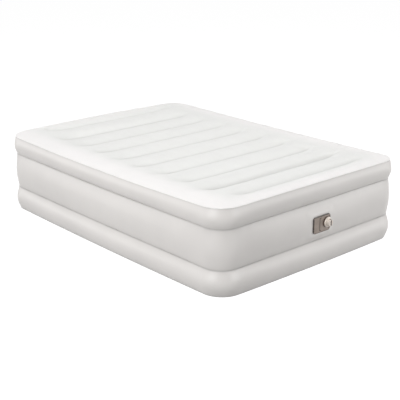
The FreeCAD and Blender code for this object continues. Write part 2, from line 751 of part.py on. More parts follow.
def make_dial():
    """Knob, stem, valve rotor and switch cam, which turn together."""
    journal = size("journal_diameter") / 2
    knob_back = face_front - size("knob_gap")
    flange_front = knob_back - size("dial_flange")
    grip_front = flange_front - size("grip_reach")
    rim, grip = size("dial_diameter") / 2, size("grip_diameter") / 2
    rim_cut, grip_cut = size("dial_chamfer"), size("grip_chamfer")
    socket_end = flange_front + size("socket_wall")
    knob = turned_body("dial_knob", dial_place(), [
        (stem_radius + running, knob_back), (rim, knob_back), (rim, flange_front + rim_cut),
        (rim - rim_cut, flange_front), (grip + size("grip_step"), flange_front),
        (grip, grip_front + grip_cut), (grip - grip_cut, grip_front), (0, grip_front),
        (0, socket_end), (stem_radius + running, socket_end)])
    slot = facing_sketch(knob, grip_front - SAW_START)
    half_slot = size("grip_slot") / 2
    draw_rectangle(slot, -half_slot, half_slot, half_slot - grip, grip - half_slot)
    pocket(knob, slot, SAW_START + size("grip_reach") / 2)

    rotor_front = size("rotor_start")
    cam_front = seat_back + size("seat_floor")
    cam_back = cam_front + size("cam_depth")
    turned_body("dial_stem", dial_place(), [
        (0, socket_end + gap), (stem_radius, socket_end + gap), (stem_radius, rotor_front - gap),
        (journal, rotor_front - gap), (journal, cam_back), (0, cam_back)])
    rotor_radius = size("seat_bore") / 2 - 2 * running
    rotor_back = rotor_front + size("rotor_depth")
    rotor_inside = rotor_radius - size("rotor_wall")
    floor_back = rotor_front + size("rotor_floor")
    hub = journal + size("rotor_floor")
    rotor = turned_body("valve_rotor", dial_place(), [
        (journal + running, rotor_front), (rotor_radius, rotor_front), (rotor_radius, rotor_back),
        (rotor_inside, rotor_back), (rotor_inside, floor_back), (hub, floor_back), (hub, rotor_back),
        (journal + running, rotor_back)])
    window = facing_sketch(rotor, rotor_front - SAW_START)
    draw_circle(window, size("inlet_circle") / 2, 0, size("inlet_hole"))
    polar(rotor, pocket(rotor, window, 2 * SAW_START + size("rotor_floor")), size("inlet_count"))

    cam = new_body("switch_cam", dial_place())
    disc = facing_sketch(cam, cam_front)
    draw_circle(disc, 0, 0, size("cam_disc"))
    draw_circle(disc, 0, 0, 2 * (journal + running))
    pad(cam, disc, size("cam_depth"), inwards=True)
    lobes = facing_sketch(cam, cam_front)
    draw_lobes(lobes)
    pad(cam, lobes, size("cam_depth"), inwards=True)


def draw_lobes(sketch):
    """Two small lobes low on each side, clear of the switch while the dial is at off."""
    tip, root, half = size("cam_lobe"), size("cam_disc") * 0.4, size("lobe_width") / 2
    turned = size("lobe_angle").value * pi / 180
    for side in (-1, 1):
        along = (side * sin(turned), -cos(turned))
        across = (-along[1], along[0])
        corners = [(root, -half), (tip, -half), (tip, half), (root, half)]
        draw_polygon(sketch, [(out * along[0] + aside * across[0], out * along[1] + aside * across[1])
                              for out, aside in corners])


seat_back = face_back + size("seat_depth")


def make_valve_seat():
    bore, hole = size("seat_bore") / 2, size("seat_hole") / 2
    outer = bore + size("seat_wall")
    floor = seat_back - size("seat_floor")
    turned_body("valve_seat", dial_place(), [
        (bore, face_back), (outer, face_back), (outer, seat_back), (hole, seat_back),
        (hole, floor), (bore, floor)])


def make_motor_switch():
    """A small switch under the cam: its case, the button on top and three tabs below."""
    switch = new_body("motor_switch", dial_place())
    front = seat_back + gap
    button_top = -size("cam_lobe") - size("button_gap")
    case_top = button_top - size("button_travel")
    case_bottom = case_top - size("switch_height")
    half_case, half_button = size("switch_width") / 2, size("button_width") / 2
    case = facing_sketch(switch, front)
    draw_rectangle(case, -half_case, half_case, case_bottom, case_top)
    pad(switch, case, size("switch_depth"), inwards=True)
    middle = front + size("switch_depth") / 2
    button = facing_sketch(switch, middle - size("button_depth") / 2)
    draw_rectangle(button, -half_button, half_button, case_top, button_top)
    pad(switch, button, size("button_depth"), inwards=True)
    half_tab = size("tab_width") / 2
    for place in (-1, 0, 1):
        across = place * size("tab_pitch")
        tab = facing_sketch(switch, middle - size("tab_thickness") / 2)
        tab_end = case_bottom - size("tab_length")
        draw_rectangle(tab, across - half_tab, across + half_tab, tab_end, case_bottom)
        pad(switch, tab, size("tab_thickness"), inwards=True)


# ---------------------------------------------------------------- the blower and motor

def motor_body(label):
    return new_body(label, (pump_x + motor_x, pump_y, pump_z))


casing_start = size("casing_start")
casing_back = casing_start + size("casing_depth")
can_front = casing_back + size("bracket")
can_back = can_front + size("can_depth")
cap_back = can_back + size("cap_depth")
shaft_radius = size("shaft_diameter") / 2


def turned_on_motor(label, points):
    return turned_body(label, (pump_x + motor_x, pump_y, pump_z), points)


def make_blower():
    outer = size("casing_outer") / 2
    wall, eye = size("casing_wall"), size("eye_diameter") / 2
    casing = turned_on_motor("blower_casing", [
        (eye, casing_start), (outer, casing_start), (outer, casing_back), (outer - wall, casing_back),
        (outer - wall, casing_start + wall), (eye, casing_start + wall)])
    outlet = new_sketch(casing, "XY_Plane", -outer - SAW_START)
    draw_rectangle(outlet, -outer / 2, outer / 2, casing_start + 2 * wall, casing_back - 2 * wall)
    pocket(casing, outlet, outer / 2, against=True)

    fan_radius = size("fan_diameter") / 2
    start, back = size("fan_start"), size("fan_start") + size("fan_depth")
    hub = size("bush_diameter") / 2
    plate_front = back - size("fan_plate")
    fan = turned_on_motor("impeller", [
        (shaft_radius + running, start), (hub, start), (hub, plate_front), (fan_radius, plate_front),
        (fan_radius, back), (shaft_radius + running, back)])
    lead, half_root = size("fan_plate") / 2, size("blade_root") / 2
    blade = facing_sketch(fan, start + lead)
    root, tip = hub + size("blade_root"), fan_radius - size("blade_clearance")
    sweep = size("blade_sweep")
    draw_polygon(blade, [(root, -half_root), (tip, sweep), (tip, sweep + size("blade_tip")),
                         (root, half_root)])
    blade_pad = pad(fan, blade, plate_front - start, inwards=True)
    polar(fan, blade_pad, size("blade_count"))

    bracket = pump_body("motor_bracket")
    plate = facing_sketch(bracket, casing_back)
    draw_cavity(plate, partition_right + gap, cavity_x - gap, cavity_z - gap, boss_leg)
    pad(bracket, plate, size("bracket"), inwards=True)
    holes = facing_sketch(bracket, casing_back - SAW_START)
    draw_circle(holes, motor_x, 0, size("bush_diameter") + 2 * running)
    ring = size("casing_outer") - 2 * size("bracket_hole_inset")
    draw_hole_ring(holes, motor_x, 0, ring, size("bracket_hole_count"), size("bracket_hole"), pi / 4)
    pocket(bracket, holes, 3 * size("bracket"))


def make_motor():
    radius, wall = size("can_diameter") / 2, size("can_wall")
    bush, bush_length = size("bush_diameter") / 2, size("bush_length")
    turned_on_motor("motor_can", [
        (bush + running, can_front), (radius, can_front), (radius, can_back), (radius - wall, can_back),
        (radius - wall, can_front + wall), (bush + running, can_front + wall)])
    turned_on_motor("motor_end_cap", [
        (bush + running, can_back), (radius, can_back), (radius, cap_back), (bush + running, cap_back)])
    front_bush, back_bush = casing_back, cap_back - bush_length
    bushes = [turned_on_motor("bush", [
        (shaft_radius + running, place), (bush, place), (bush, place + bush_length),
        (shaft_radius + running, place + bush_length)]) for place in (front_bush, back_bush)]
    group = doc.addObject("Part::Compound", "motor_bushes")
    group.Label = "motor_bushes"
    group.Links = bushes
    shaft_start, shaft_back = size("fan_start") - size("shaft_end") / 2, cap_back + size("shaft_end")
    turned_on_motor("motor_shaft", [
        (0, shaft_start), (shaft_radius, shaft_start), (shaft_radius, shaft_back), (0, shaft_back)])
    stack, commutator = size("armature_diameter") / 2, size("commutator_diameter") / 2
    first, stack_end = can_front + size("stack_front"), can_back - size("stack_back")
    coil, coil_end = stack - size("coil_step"), size("coil_end")
    commutator_back = back_bush - coil_end / 2
    turned_on_motor("armature", [
        (shaft_radius + running, first - coil_end), (coil, first - coil_end), (coil, first),
        (stack, first), (stack, stack_end), (coil, stack_end), (commutator, stack_end + coil_end),
        (commutator, commutator_back), (shaft_radius + running, commutator_back)])
    inner, outer = size("stator_bore") / 2, radius - wall - gap
    turned_on_motor("stator_ring", [
        (inner, first), (outer, first), (outer, stack_end), (inner, stack_end)])
    brushes = []
    brush = size("brush")
    for side in (-1, 1):
        body = motor_body("brush")
        sketch = facing_sketch(body, stack_end + 2 * coil_end)
        draw_rectangle(sketch, side * (commutator + running), side * outer, -brush / 2, brush / 2)
        pad(body, sketch, brush, inwards=True)
        brushes.append(body)
    group = doc.addObject("Part::Compound", "carbon_brushes")
    group.Label = "carbon_brushes"
    group.Links = brushes


def make_check_valve():
    """A sprung disc outside the housing's back wall, which lets air in to the bed and not back."""
    disc, stem, head = (size(name) / 2 for name in ("check_disc", "check_stem", "check_head"))
    wall_front = housing_back - housing_wall
    head_back = wall_front - size("check_spring_room") - 2 * running
    head_front = head_back - size("check_head_depth")
    disc_front = housing_back + gap
    disc_back = disc_front + size("check_disc_depth")
    turned_on_motor("check_valve_disc", [
        (0, head_front), (head, head_front), (head, head_back), (stem, head_back),
        (stem, disc_front), (disc, disc_front), (disc, disc_back), (0, disc_back)])
    spring = motor_body("check_valve_spring")
    wire = size("spring_wire")
    coil = stem + wire / 2 + 3 * running
    section = new_sketch(spring, "XY_Plane")
    start = head_back + wire / 2 + running
    draw_circle(section, coil, start, wire)
    helix = spring.newObject("PartDesign::AdditiveHelix", "spring_coil")
    helix.Profile = section
    helix.ReferenceAxis = (section, ["V_Axis"])
    helix.Mode = "height-turns-angle"
    helix.setExpression("Height", (size("check_spring_room") - wire).text)
    helix.setExpression("Turns", "dims.spring_turns")
    doc.recompute()


cut_wall_for_pump()
make_wall_rings()
make_housing()
make_faceplate()
make_screws()
make_cord_store()
make_door()
make_valve_seat()
make_motor_switch()
make_dial()
make_blower()
make_motor()
make_check_valve()
doc.recompute()

# ---------------------------------------------------------------- checks and files

PIECES = (
    ["top_sheet", "wall_upper", "wall_middle", "wall_lower", "bottom_sheet", "girdle_upper",
     "girdle_lower"]
    + [f"cross_beam_{number + 1}" for number in range(int(size("channel_count").value) + 1)]
    + ["pump_collar", "pump_gasket", "pump_housing", "faceplate", "faceplate_screws", "cord_tray",
       "cord_gland", "cord_door", "door_hinge_pin", "dial_knob", "dial_stem", "valve_rotor",
       "valve_seat", "switch_cam", "motor_switch", "blower_casing", "impeller", "motor_bracket",
       "motor_can", "motor_end_cap", "motor_bushes", "motor_shaft", "armature", "stator_ring",
       "carbon_brushes", "check_valve_disc", "check_valve_spring"]
)

for thing in doc.Objects:
    if "Invalid" in thing.State or "Error" in thing.State:
        raise RuntimeError(f"{thing.Label} did not build")

os.makedirs("parts", exist_ok=True)
for label in PIECES:
    piece = doc.getObjectsByLabel(label)[0]
    shape = piece.Shape
    if shape.isNull() or not shape.isValid() or not shape.Solids:
        raise RuntimeError(f"{label} has no sound solid")
    shape.exportStep(f"parts/{label}.step")
    print(label, len(shape.Solids), round(shape.Volume / 1000, 2), "cm3")
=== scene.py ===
"""Raised double air bed with a built-in pump: its soft envelope, its finishes, floor, light and camera.

The construction comes packed as the frame. The sheets of the envelope are soft, so they are
modelled here and stand for their plain solids. Lengths are in metres.
"""
import json
from math import cos, pi, radians, sin

import bmesh
import bpy
import numpy as np
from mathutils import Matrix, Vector, noise


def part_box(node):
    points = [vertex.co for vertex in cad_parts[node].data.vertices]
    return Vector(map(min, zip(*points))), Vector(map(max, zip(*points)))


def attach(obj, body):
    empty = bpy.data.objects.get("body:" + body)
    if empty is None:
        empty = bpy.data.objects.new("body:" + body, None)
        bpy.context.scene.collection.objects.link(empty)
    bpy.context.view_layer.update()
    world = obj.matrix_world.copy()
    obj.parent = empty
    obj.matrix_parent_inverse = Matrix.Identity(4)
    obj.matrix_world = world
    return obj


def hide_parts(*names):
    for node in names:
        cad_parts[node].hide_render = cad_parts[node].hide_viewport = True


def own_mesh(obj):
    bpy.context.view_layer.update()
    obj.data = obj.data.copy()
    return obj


bl_info = {
    "name": "Air Bed",
    "version": (1, 0, 0),
    "blender": (4, 5, 0),
    "location": "View3D > Sidebar > Air Bed",
    "description": "Builds the soft envelope and the finishes of a raised air bed around its frame",
    "category": "Object",
}

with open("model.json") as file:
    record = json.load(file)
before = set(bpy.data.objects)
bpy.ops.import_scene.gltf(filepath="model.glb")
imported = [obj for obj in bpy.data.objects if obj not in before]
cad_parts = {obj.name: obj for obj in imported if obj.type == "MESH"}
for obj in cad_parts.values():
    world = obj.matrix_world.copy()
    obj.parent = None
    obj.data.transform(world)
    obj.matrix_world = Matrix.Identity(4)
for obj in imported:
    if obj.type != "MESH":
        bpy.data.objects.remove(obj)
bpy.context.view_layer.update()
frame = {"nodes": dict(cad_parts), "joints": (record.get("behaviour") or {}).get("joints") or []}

wall_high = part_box("wall_lower")[1]
upper_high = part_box("wall_upper")[1]
middle_low, middle_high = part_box("wall_middle")
beam_low, beam_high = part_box("cross_beam_1")
last_beam_low, last_beam_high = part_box("cross_beam_10")
housing_low, housing_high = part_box("pump_housing")
collar_low, collar_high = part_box("pump_collar")

BEAM_COUNT = sum(1 for name in frame["nodes"] if name.startswith("cross_beam_"))
BEAM_REACH = beam_high[0]
FIRST_BEAM = (beam_low[1] + beam_high[1]) / 2
LAST_BEAM = (last_beam_low[1] + last_beam_high[1]) / 2
PITCH = (LAST_BEAM - FIRST_BEAM) / (BEAM_COUNT - 1)
# How near a beam's middle a line of the sheet counts as lying on its weld.
ON_WELD = 1e-5
# How closely the seam's wave and the welds' depth keep to one side, and how they fade along it.
SIDE_POWER, FADE_POWER = 8, 4
# How much of the seam's wave the lower and the upper weld follow.
LOWER_WAVE, UPPER_WAVE = 0.2, 0.5


# ---------------------------------------------------------------- what a user would change

def length(name, description, default):
    return bpy.props.FloatProperty(
        name=name, description=description, default=default, unit="LENGTH", precision=4)


def colour(name, description, default):
    return bpy.props.FloatVectorProperty(
        name=name, description=description, default=default, subtype="COLOR", size=3, min=0, max=1)


class AirBedShape(bpy.types.PropertyGroup):
    """Sizes of the soft envelope."""
    side_bulge: length("Side Bulge", "How far the long sides swell out at their middle", 0.012)
    end_bulge: length("End Bulge", "How far the short ends swell out at their middle", 0.0105)
    corner: length("Corner Radius", "Radius of the bed's corners in plan", 0.127)
    groove: length("Groove Depth", "How far the welds are drawn in from the outline", 0.015)
    groove_deepening: length("Groove Deepening", "How much deeper the welds lie at mid-side", 0.011)
    foot: length("Foot Depth", "How far the foot is drawn in from the outline", 0.017)
    seam_dip: length("Seam Dip", "How far the top seam sags at the middle of a long side", 0.0134)
    seam_lift: length("Seam Lift", "How far the top seam rises at the middle of a short end", 0.005)
    crease: length("Crease Height", "Height of the welds between the channels", 0.417)
    channel_rise: length("Channel Rise", "Height of a channel's crown above its creases", 0.021)
    crease_fade: length("Crease Fade", "Length over which a crease fades into the side border", 0.06)
    end_hold: bpy.props.FloatProperty(
        name="End Hold", description="How firmly the first and last welds hold, against the others",
        default=0.12, min=0, max=1)
    sheet: length("Sheet", "Thickness of the vinyl sheet", 0.0012)
    cell: length("Cell", "Size of a mesh cell before subdivision", 0.015)


class AirBedColours(bpy.types.PropertyGroup):
    """Colours of the finishes."""
    flock: colour("Flock", "The flocked sleeping surface", (0.855, 0.855, 0.835))
    wall: colour("Wall", "The vinyl of the side walls", (0.73, 0.705, 0.685))
    base: colour("Base", "The vinyl of the bottom sheet", (0.42, 0.41, 0.40))
    beam: colour("Beam", "The plain vinyl inside", (0.72, 0.72, 0.70))
    face: colour("Pump Face", "The pump's faceplate and door", (0.30, 0.245, 0.21))
    dial: colour("Dial", "The dial's front", (0.80, 0.72, 0.65))
    dial_side: colour("Dial Side", "The dial's side and its slot", (0.105, 0.062, 0.045))
    shell: colour("Pump Shell", "The housing behind the face", (0.05, 0.05, 0.055))
    inner: colour("Inner Plastic", "The plain moulded parts inside the pump", (0.62, 0.62, 0.60))
    # the rubber's tone is also the painted shade on the pump's face
    rubber: colour("Rubber", "The gasket, gland and valve disc", (0.022, 0.019, 0.018))
    steel: colour("Steel", "Hinge pin, shaft, bracket and motor can", (0.56, 0.56, 0.57))
    screw: colour("Screw", "The blackened screws of the pump's face", (0.045, 0.038, 0.034))
    brass: colour("Brass", "The motor's bushes", (0.70, 0.52, 0.25))
    copper: colour("Copper", "The armature's winding", (0.62, 0.30, 0.14))
    carbon: colour("Carbon", "The motor's brushes", (0.03, 0.03, 0.033))


class AirBedView(bpy.types.PropertyGroup):
    """The camera's place and lens."""
    azimuth: bpy.props.FloatProperty(
        name="Azimuth", description="The camera's direction round the bed", subtype="ANGLE",
        default=radians(-41.69))
    elevation: bpy.props.FloatProperty(
        name="Elevation", description="The camera's angle above level", subtype="ANGLE",
        default=radians(18.88))
    distance: length("Distance", "From the camera to its target", 4.8904)
    target: bpy.props.FloatVectorProperty(
        name="Target", description="The point that the camera looks at", subtype="TRANSLATION",
        unit="LENGTH", default=(-0.1996, -0.2723, 0.23))
    lens: bpy.props.FloatProperty(
        name="Lens", description="Focal length on a 36 mm sensor", unit="CAMERA", default=81.13)


# ---------------------------------------------------------------- the bed's outline

class Outline:
    """The bed's rounded plan, which swells at the middle of each side, and the seams' rise and fall."""

    def __init__(self, shape):
        self.half_x = wall_high[0] - shape.side_bulge
        self.half_y = wall_high[1] - shape.end_bulge
        self.radius = shape.corner
        self.side_bulge = shape.side_bulge
        self.end_bulge = shape.end_bulge
        self.seam_dip = shape.seam_dip
        self.seam_lift = shape.seam_lift
        self.cell = shape.cell

    def swell(self, x, y):
        """Moves a point of the plain rounded rectangle to its place on the swollen plan."""
        across, along = x / self.half_x, y / self.half_y
        return (x + across * self.side_bulge * (1 - along * along),
                y + along * self.end_bulge * (1 - across * across))

    def shares(self, x, y):
        """How far out a point lies towards the long sides and the ends, from 0 to 1."""
        return min(1, abs(x / self.half_x)), min(1, abs(y / self.half_y))

    def wave(self, x, y):
        """How far the top seam lies above or below its nominal height."""
        across, along = self.shares(x, y)
        lift = self.seam_lift * (1 - across ** 2) * along ** SIDE_POWER
        return lift - self.seam_dip * (1 - along ** 2) * across ** SIDE_POWER

    def draw_in(self, x, y, depth):
        """Moves a point of the swollen plan inwards, most at the middle of each side, not at corners."""
        across, along = self.shares(x, y)
        on_side = across ** SIDE_POWER * (1 - along ** FADE_POWER)
        on_end = along ** SIDE_POWER * (1 - across ** FADE_POWER)
        return x - np.sign(x) * depth * on_side, y - np.sign(y) * depth * on_end

    def stations(self, low, high, keep=()):
        """Evenly spaced places between two ends, the nearest of them moved to each place to keep."""
        count = max(2, round((high - low) / self.cell))
        places = np.linspace(low, high, count + 1)
        for wanted in keep:
            places[np.argmin(abs(places - wanted))] = wanted
        return list(places)

    def loop(self, inset, keep_x=()):
        """Points round the plan, anticlockwise from the start of the -Y side."""
        flat_x, flat_y = self.half_x - self.radius, self.half_y - self.radius
        turn_radius = self.radius - inset
        turn_count = max(4, round(self.radius * pi / 2 / self.cell))
        points = [(x, -self.half_y + inset) for x in self.stations(-flat_x, flat_x, keep_x)]
        across, along = self.stations(-flat_x, flat_x), self.stations(-flat_y, flat_y)
        sides = [
            ((flat_x, -flat_y), -pi / 2, [(self.half_x - inset, y) for y in along]),
            ((flat_x, flat_y), 0, [(x, self.half_y - inset) for x in across[::-1]]),
            ((-flat_x, flat_y), pi / 2, [(inset - self.half_x, y) for y in along[::-1]]),
            ((-flat_x, -flat_y), pi, []),
        ]
        for (centre_x, centre_y), start, side in sides:
            for step in range(1, turn_count):
                angle = start + pi / 2 * step / turn_count
                points.append((centre_x + turn_radius * cos(angle), centre_y + turn_radius * sin(angle)))
            points += side
        return points


def new_piece(name, mesh):
    """A new object in the scene that shows the mesh."""
    piece = bpy.data.objects.new(name, mesh)
    bpy.context.scene.collection.objects.link(piece)
    return piece


def only(piece):
    """Selects one piece and nothing else."""
    bpy.ops.object.select_all(action="DESELECT")
    piece.select_set(True)
    bpy.context.view_layer.objects.active = piece


def apply_modifier(piece, modifier):
    only(piece)
    bpy.ops.object.modifier_apply(modifier=modifier.name)


def mesh_of(name, points, faces, welds):
    """A mesh whose points carry how close they lie to a weld, from 0 to 1."""
    mesh = bpy.data.meshes.new(name)
    mesh.from_pydata([tuple(point) for point in points], [], faces)
    mesh.update()
    closeness = mesh.attributes.new("weld", "FLOAT", "POINT")
    closeness.data.foreach_set("value", [float(weld) for weld in welds])
    mesh.shade_smooth()
    return mesh


def inflate(piece, held, pressure, cap, stiffness):
    """Blows the sheet up with air, as cloth that is held at its welds, and keeps the result."""
    mesh = piece.data
    start = np.empty(len(mesh.vertices) * 3)
    mesh.vertices.foreach_get("co", start)
    group = piece.vertex_groups.new(name="welds")
    for index, hold in enumerate(held):
        if hold > 0:
            group.add([index], float(hold), "REPLACE")
    cloth = piece.modifiers.new("air", "CLOTH")
    settings = cloth.settings
    settings.quality = 6
    settings.mass = 0.3
    settings.tension_stiffness = stiffness
    settings.compression_stiffness = stiffness
    settings.shear_stiffness = stiffness / 3
    settings.bending_stiffness = 0.5
    settings.air_damping = 8
    settings.use_pressure = True
    settings.uniform_pressure_force = pressure
    settings.effector_weights.gravity = 0
    settings.vertex_group_mass = group.name
    cloth.collision_settings.use_collision = False
    last_frame = 20
    cloth.point_cache.frame_start = 1
    cloth.point_cache.frame_end = last_frame
    for number in range(1, last_frame + 1):
        bpy.context.scene.frame_set(number)
    apply_modifier(piece, cloth)
    bpy.context.scene.frame_set(1)
    end = np.empty_like(start)
    mesh = piece.data
    mesh.vertices.foreach_get("co", end)
    move = (end - start).reshape(-1, 3)
    reach = np.linalg.norm(move, axis=1, keepdims=True)
    least_move = 1e-9
    share = np.minimum(1, cap / np.maximum(reach, least_move))
    mesh.vertices.foreach_set("co", (start.reshape(-1, 3) + move * share).ravel())
    mesh.update()
    piece.vertex_groups.clear()


def pucker(piece, depth):
    """Small folds that run away from the welds and die out, where flat sheet is drawn in."""
    mesh = piece.data
    weld = mesh.attributes["weld"].data
    folds_along, folds_up = 26, 5
    moved = []
    for vertex in mesh.vertices:
        place = vertex.co
        fold = noise.noise(Vector((place.x * folds_along, place.y * folds_along, place.z * folds_up)))
        moved.append(place + vertex.normal * depth * fold * weld[vertex.index].value)
    for vertex, place in zip(mesh.vertices, moved):
        vertex.co = place
    mesh.update()


def finish_sheet(piece, thickness, body, replaced, material):
    """Smooths the sheet, gives it its thickness inwards and sets it in the frame."""
    smooth = piece.modifiers.new("smooth", "SUBSURF")
    smooth.levels = 1
    smooth.render_levels = 1
    apply_modifier(piece, smooth)
    wall = piece.modifiers.new("sheet", "SOLIDIFY")
    wall.thickness = thickness
    wall.offset = -1
    apply_modifier(piece, wall)
    piece.data.materials.append(material)
    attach(piece, body)
    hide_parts(replaced)


# ---------------------------------------------------------------- the finishes

class Amount:
    """A number socket that adds a Math node for each operator used on it."""

    def __init__(self, finish, socket):
        self.finish = finish
        self.socket = socket

    def maths(self, operation, first, second):
        return self.finish.value("ShaderNodeMath", {"operation": operation}, {0: first, 1: second})

    def __add__(self, other):
        return self.maths("ADD", self, other)

    def __radd__(self, other):
        return self.maths("ADD", other, self)

    def __sub__(self, other):
        return self.maths("SUBTRACT", self, other)

    def __rsub__(self, other):
        return self.maths("SUBTRACT", other, self)

    def __mul__(self, other):
        return self.maths("MULTIPLY", self, other)

    def __rmul__(self, other):
        return self.maths("MULTIPLY", other, self)

    def __pow__(self, other):
        return self.maths("POWER", self, other)

    def __gt__(self, other):
        return self.maths("GREATER_THAN", self, other)

    def __lt__(self, other):
        return self.maths("LESS_THAN", self, other)

    def __abs__(self):
        return self.maths("ABSOLUTE", self, 0)

    def step(self, low, high):
        """0 up to low, 1 from high on, and smooth between."""
        inputs = {"Value": self, "From Min": low, "From Max": high}
        return self.finish.value("ShaderNodeMapRange", {"interpolation_type": "SMOOTHSTEP"}, inputs)


class Graph:
    """A node tree and the one way in which its nodes are added."""

    def __init__(self, tree):
        self.tree = tree

    def node(self, kind, settings=None, inputs=None):
        node = self.tree.nodes.new(kind)
        for name, setting in (settings or {}).items():
            setattr(node, name, setting)
        for name, given in (inputs or {}).items():
            self.feed(node.inputs[name], given)
        return node

    def feed(self, socket, given):
        if isinstance(given, Amount):
            given = given.socket
        if isinstance(given, bpy.types.NodeSocket):
            self.tree.links.new(given, socket)
        else:
            socket.default_value = given

    def value(self, kind, settings=None, inputs=None, output=0):
        return Amount(self, self.node(kind, settings, inputs).outputs[output])

    def seen_straight(self):
        """1 for what the camera sees, itself or in a gloss or through a clear piece; 0 for the light."""
        path = self.node("ShaderNodeLightPath").outputs
        seen = Amount(self, path["Is Camera Ray"]) + Amount(self, path["Is Glossy Ray"])
        return seen + Amount(self, path["Is Transmission Ray"])


class Finish(Graph):
    """A material and its surface shader."""

    def __init__(self, name):
        self.material = bpy.data.materials.new(name)
        self.material.use_nodes = True
        super().__init__(self.material.node_tree)
        self.shader = self.tree.nodes["Principled BSDF"]
        self.places = None

    def place(self):
        if self.places is None:
            self.places = self.node("ShaderNodeTexCoord").outputs["Object"]
        return self.places

    def axis(self, letter):
        split = self.node("ShaderNodeSeparateXYZ", None, {0: self.place()})
        return Amount(self, split.outputs[letter])

    def stretched(self, scale):
        return self.node("ShaderNodeMapping", None, {"Vector": self.place(), "Scale": scale}).outputs[0]

    def noise(self, scale, detail=2.0, roughness=0.5, where=None):
        return self.value("ShaderNodeTexNoise", None, {
            "Vector": where or self.place(), "Scale": scale, "Detail": detail, "Roughness": roughness})

    def weld(self):
        node = self.node("ShaderNodeAttribute", {"attribute_name": "weld"})
        return Amount(self, node.outputs["Fac"])

    def blend(self, amount, first, second):
        """A colour between two others."""
        node = self.node("ShaderNodeMix", {"data_type": "RGBA"})
        self.feed(node.inputs[0], amount)
        for socket, given in ((node.inputs[6], first), (node.inputs[7], second)):
            self.feed(socket, given if isinstance(given, bpy.types.NodeSocket) else (*given, 1))
        return node.outputs[2]

    def bump(self, height, strength, distance):
        inputs = {"Height": height, "Strength": strength, "Distance": distance}
        self.feed(self.shader.inputs["Normal"], self.node("ShaderNodeBump", None, inputs).outputs[0])

    def set(self, **sockets):
        for name, given in sockets.items():
            self.feed(self.shader.inputs[name.replace("_", " ")], given)
        return self


MIDDLE = 0.5  # the mean of a noise


def shade(tone, share):
    """A darker or lighter tone of the same hue."""
    return tuple(part * share for part in tone)


def flocked_finish(tone):
    """Short dense fibres: matt, with a faint sheen, brushed a little darker and lighter in patches, with
    painted light on the border and painted shade in the creases.
    """
    finish = Finish("flocked_top")
    patches = finish.noise(scale=7, detail=4, roughness=0.6)
    brushed = finish.noise(scale=1, detail=3, roughness=0.55, where=finish.stretched((40, 9, 40)))
    fibres = finish.noise(scale=900, detail=2, roughness=0.7)
    tufts = finish.noise(scale=240, detail=2)
    # the border's tone is painted light: it is lifted lighter and warmer than the panel's
    border_fade, border_painted_light = 0.12, (1.09, 1.065, 1.08)
    patch_share, patch_low, patch_high = 0.6, 0.38, 0.64
    patch_amount, crease_shade_amount, speck_amount, speck_start = 0.06, 0.3, 0.35, 0.35
    off_panel_x = abs(finish.axis("X")).step(BEAM_REACH, BEAM_REACH + border_fade)
    off_panel_y = abs(finish.axis("Y")).step(LAST_BEAM, LAST_BEAM + border_fade)
    on_border = 1 - (1 - off_panel_x) * (1 - off_panel_y)
    # painted light: the border beam takes a lighter, warmer tone than the panel
    lit_border_tone = tuple(part * share for part, share in zip(tone, border_painted_light))
    ground = finish.blend(on_border, tone, lit_border_tone)
    mask = (patches * patch_share + brushed * (1 - patch_share)).step(patch_low, patch_high)
    cloth = finish.blend(mask * patch_amount, ground, shade(tone, 0.7))
    # painted shade: the creases and the rim, where the weld closeness is high, are darkened
    cloth = finish.blend(finish.weld() * crease_shade_amount, cloth, shade(tone, 0.86))
    speckled = finish.blend((fibres - speck_start) * speck_amount, cloth, shade(tone, 0.88))
    fibre_share = 0.7
    finish.bump(fibres * fibre_share + tufts * (1 - fibre_share), strength=0.35, distance=0.0012)
    finish.set(Base_Color=speckled, Roughness=0.93, Sheen_Weight=0.25, Sheen_Roughness=0.5)
    return finish.material


def vinyl_finish(name, tone, rough=0.4):
    """Calendered vinyl sheet: satin, with a fine grain, painted shade in and near its welds and slow
    changes of gloss.
    """
    finish = Finish(name)
    slow = finish.noise(scale=3.5, detail=3)
    grain = finish.noise(scale=620, detail=2, roughness=0.55)
    film = finish.noise(scale=38, detail=3, roughness=0.6)
    mottled = finish.blend(slow.step(0.3, 0.7), shade(tone, 0.975), shade(tone, 1.02))
    weld = finish.weld()
    # painted shade: a fine dark line along each weld and a broad darkening towards it, where the grooves
    # are shaded
    line_power, groove_line_shade, fade_power, groove_fade_shade = 8, 0.5, 1.5, 0.14
    painted_groove_shade = weld ** line_power * groove_line_shade + weld ** fade_power * groove_fade_shade
    welded = finish.blend(painted_groove_shade, mottled, shade(tone, 0.45))
    finish.bump(grain * 0.5 + film * 0.5, strength=0.12, distance=0.001)
    slow_gloss, film_gloss = 0.14, 0.08
    finish.set(Base_Color=welded, IOR=1.5, Specular_IOR_Level=0.5,
               Roughness=rough + (slow - MIDDLE) * slow_gloss + (film - MIDDLE) * film_gloss)
    return finish.material


def moulded_finish(name, tone, rough=0.42, grain=0.3):
    """Moulded plastic with a fine spark-eroded texture, rubbed a little brighter in patches."""
    finish = Finish(name)
    cloud = finish.noise(scale=60, detail=3, roughness=0.6)
    texture = finish.noise(scale=1600, detail=2, roughness=0.6)
    mottled = finish.blend(cloud.step(0.3, 0.7), shade(tone, 0.92), shade(tone, 1.07))
    finish.bump(texture, strength=grain, distance=0.0004)
    cloud_gloss = 0.16
    finish.set(Base_Color=mottled, Roughness=rough + (cloud - MIDDLE) * cloud_gloss)
    return finish


def middle_and_half(low, high, axis):
    """The middle of a box along one axis, and how far it reaches from there."""
    return (low[axis] + high[axis]) / 2, (high[axis] - low[axis]) / 2


def within_face(finish, letter, axis):
    """1 on the faceplate inside its rounded rim along one axis, and 0 on the rim."""
    middle, half = middle_and_half(*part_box("faceplate"), axis)
    rim_inner, rim_outer = 0.0045, 0.0025
    return 1 - abs(finish.axis(letter) - middle).step(half - rim_inner, half - rim_outer)


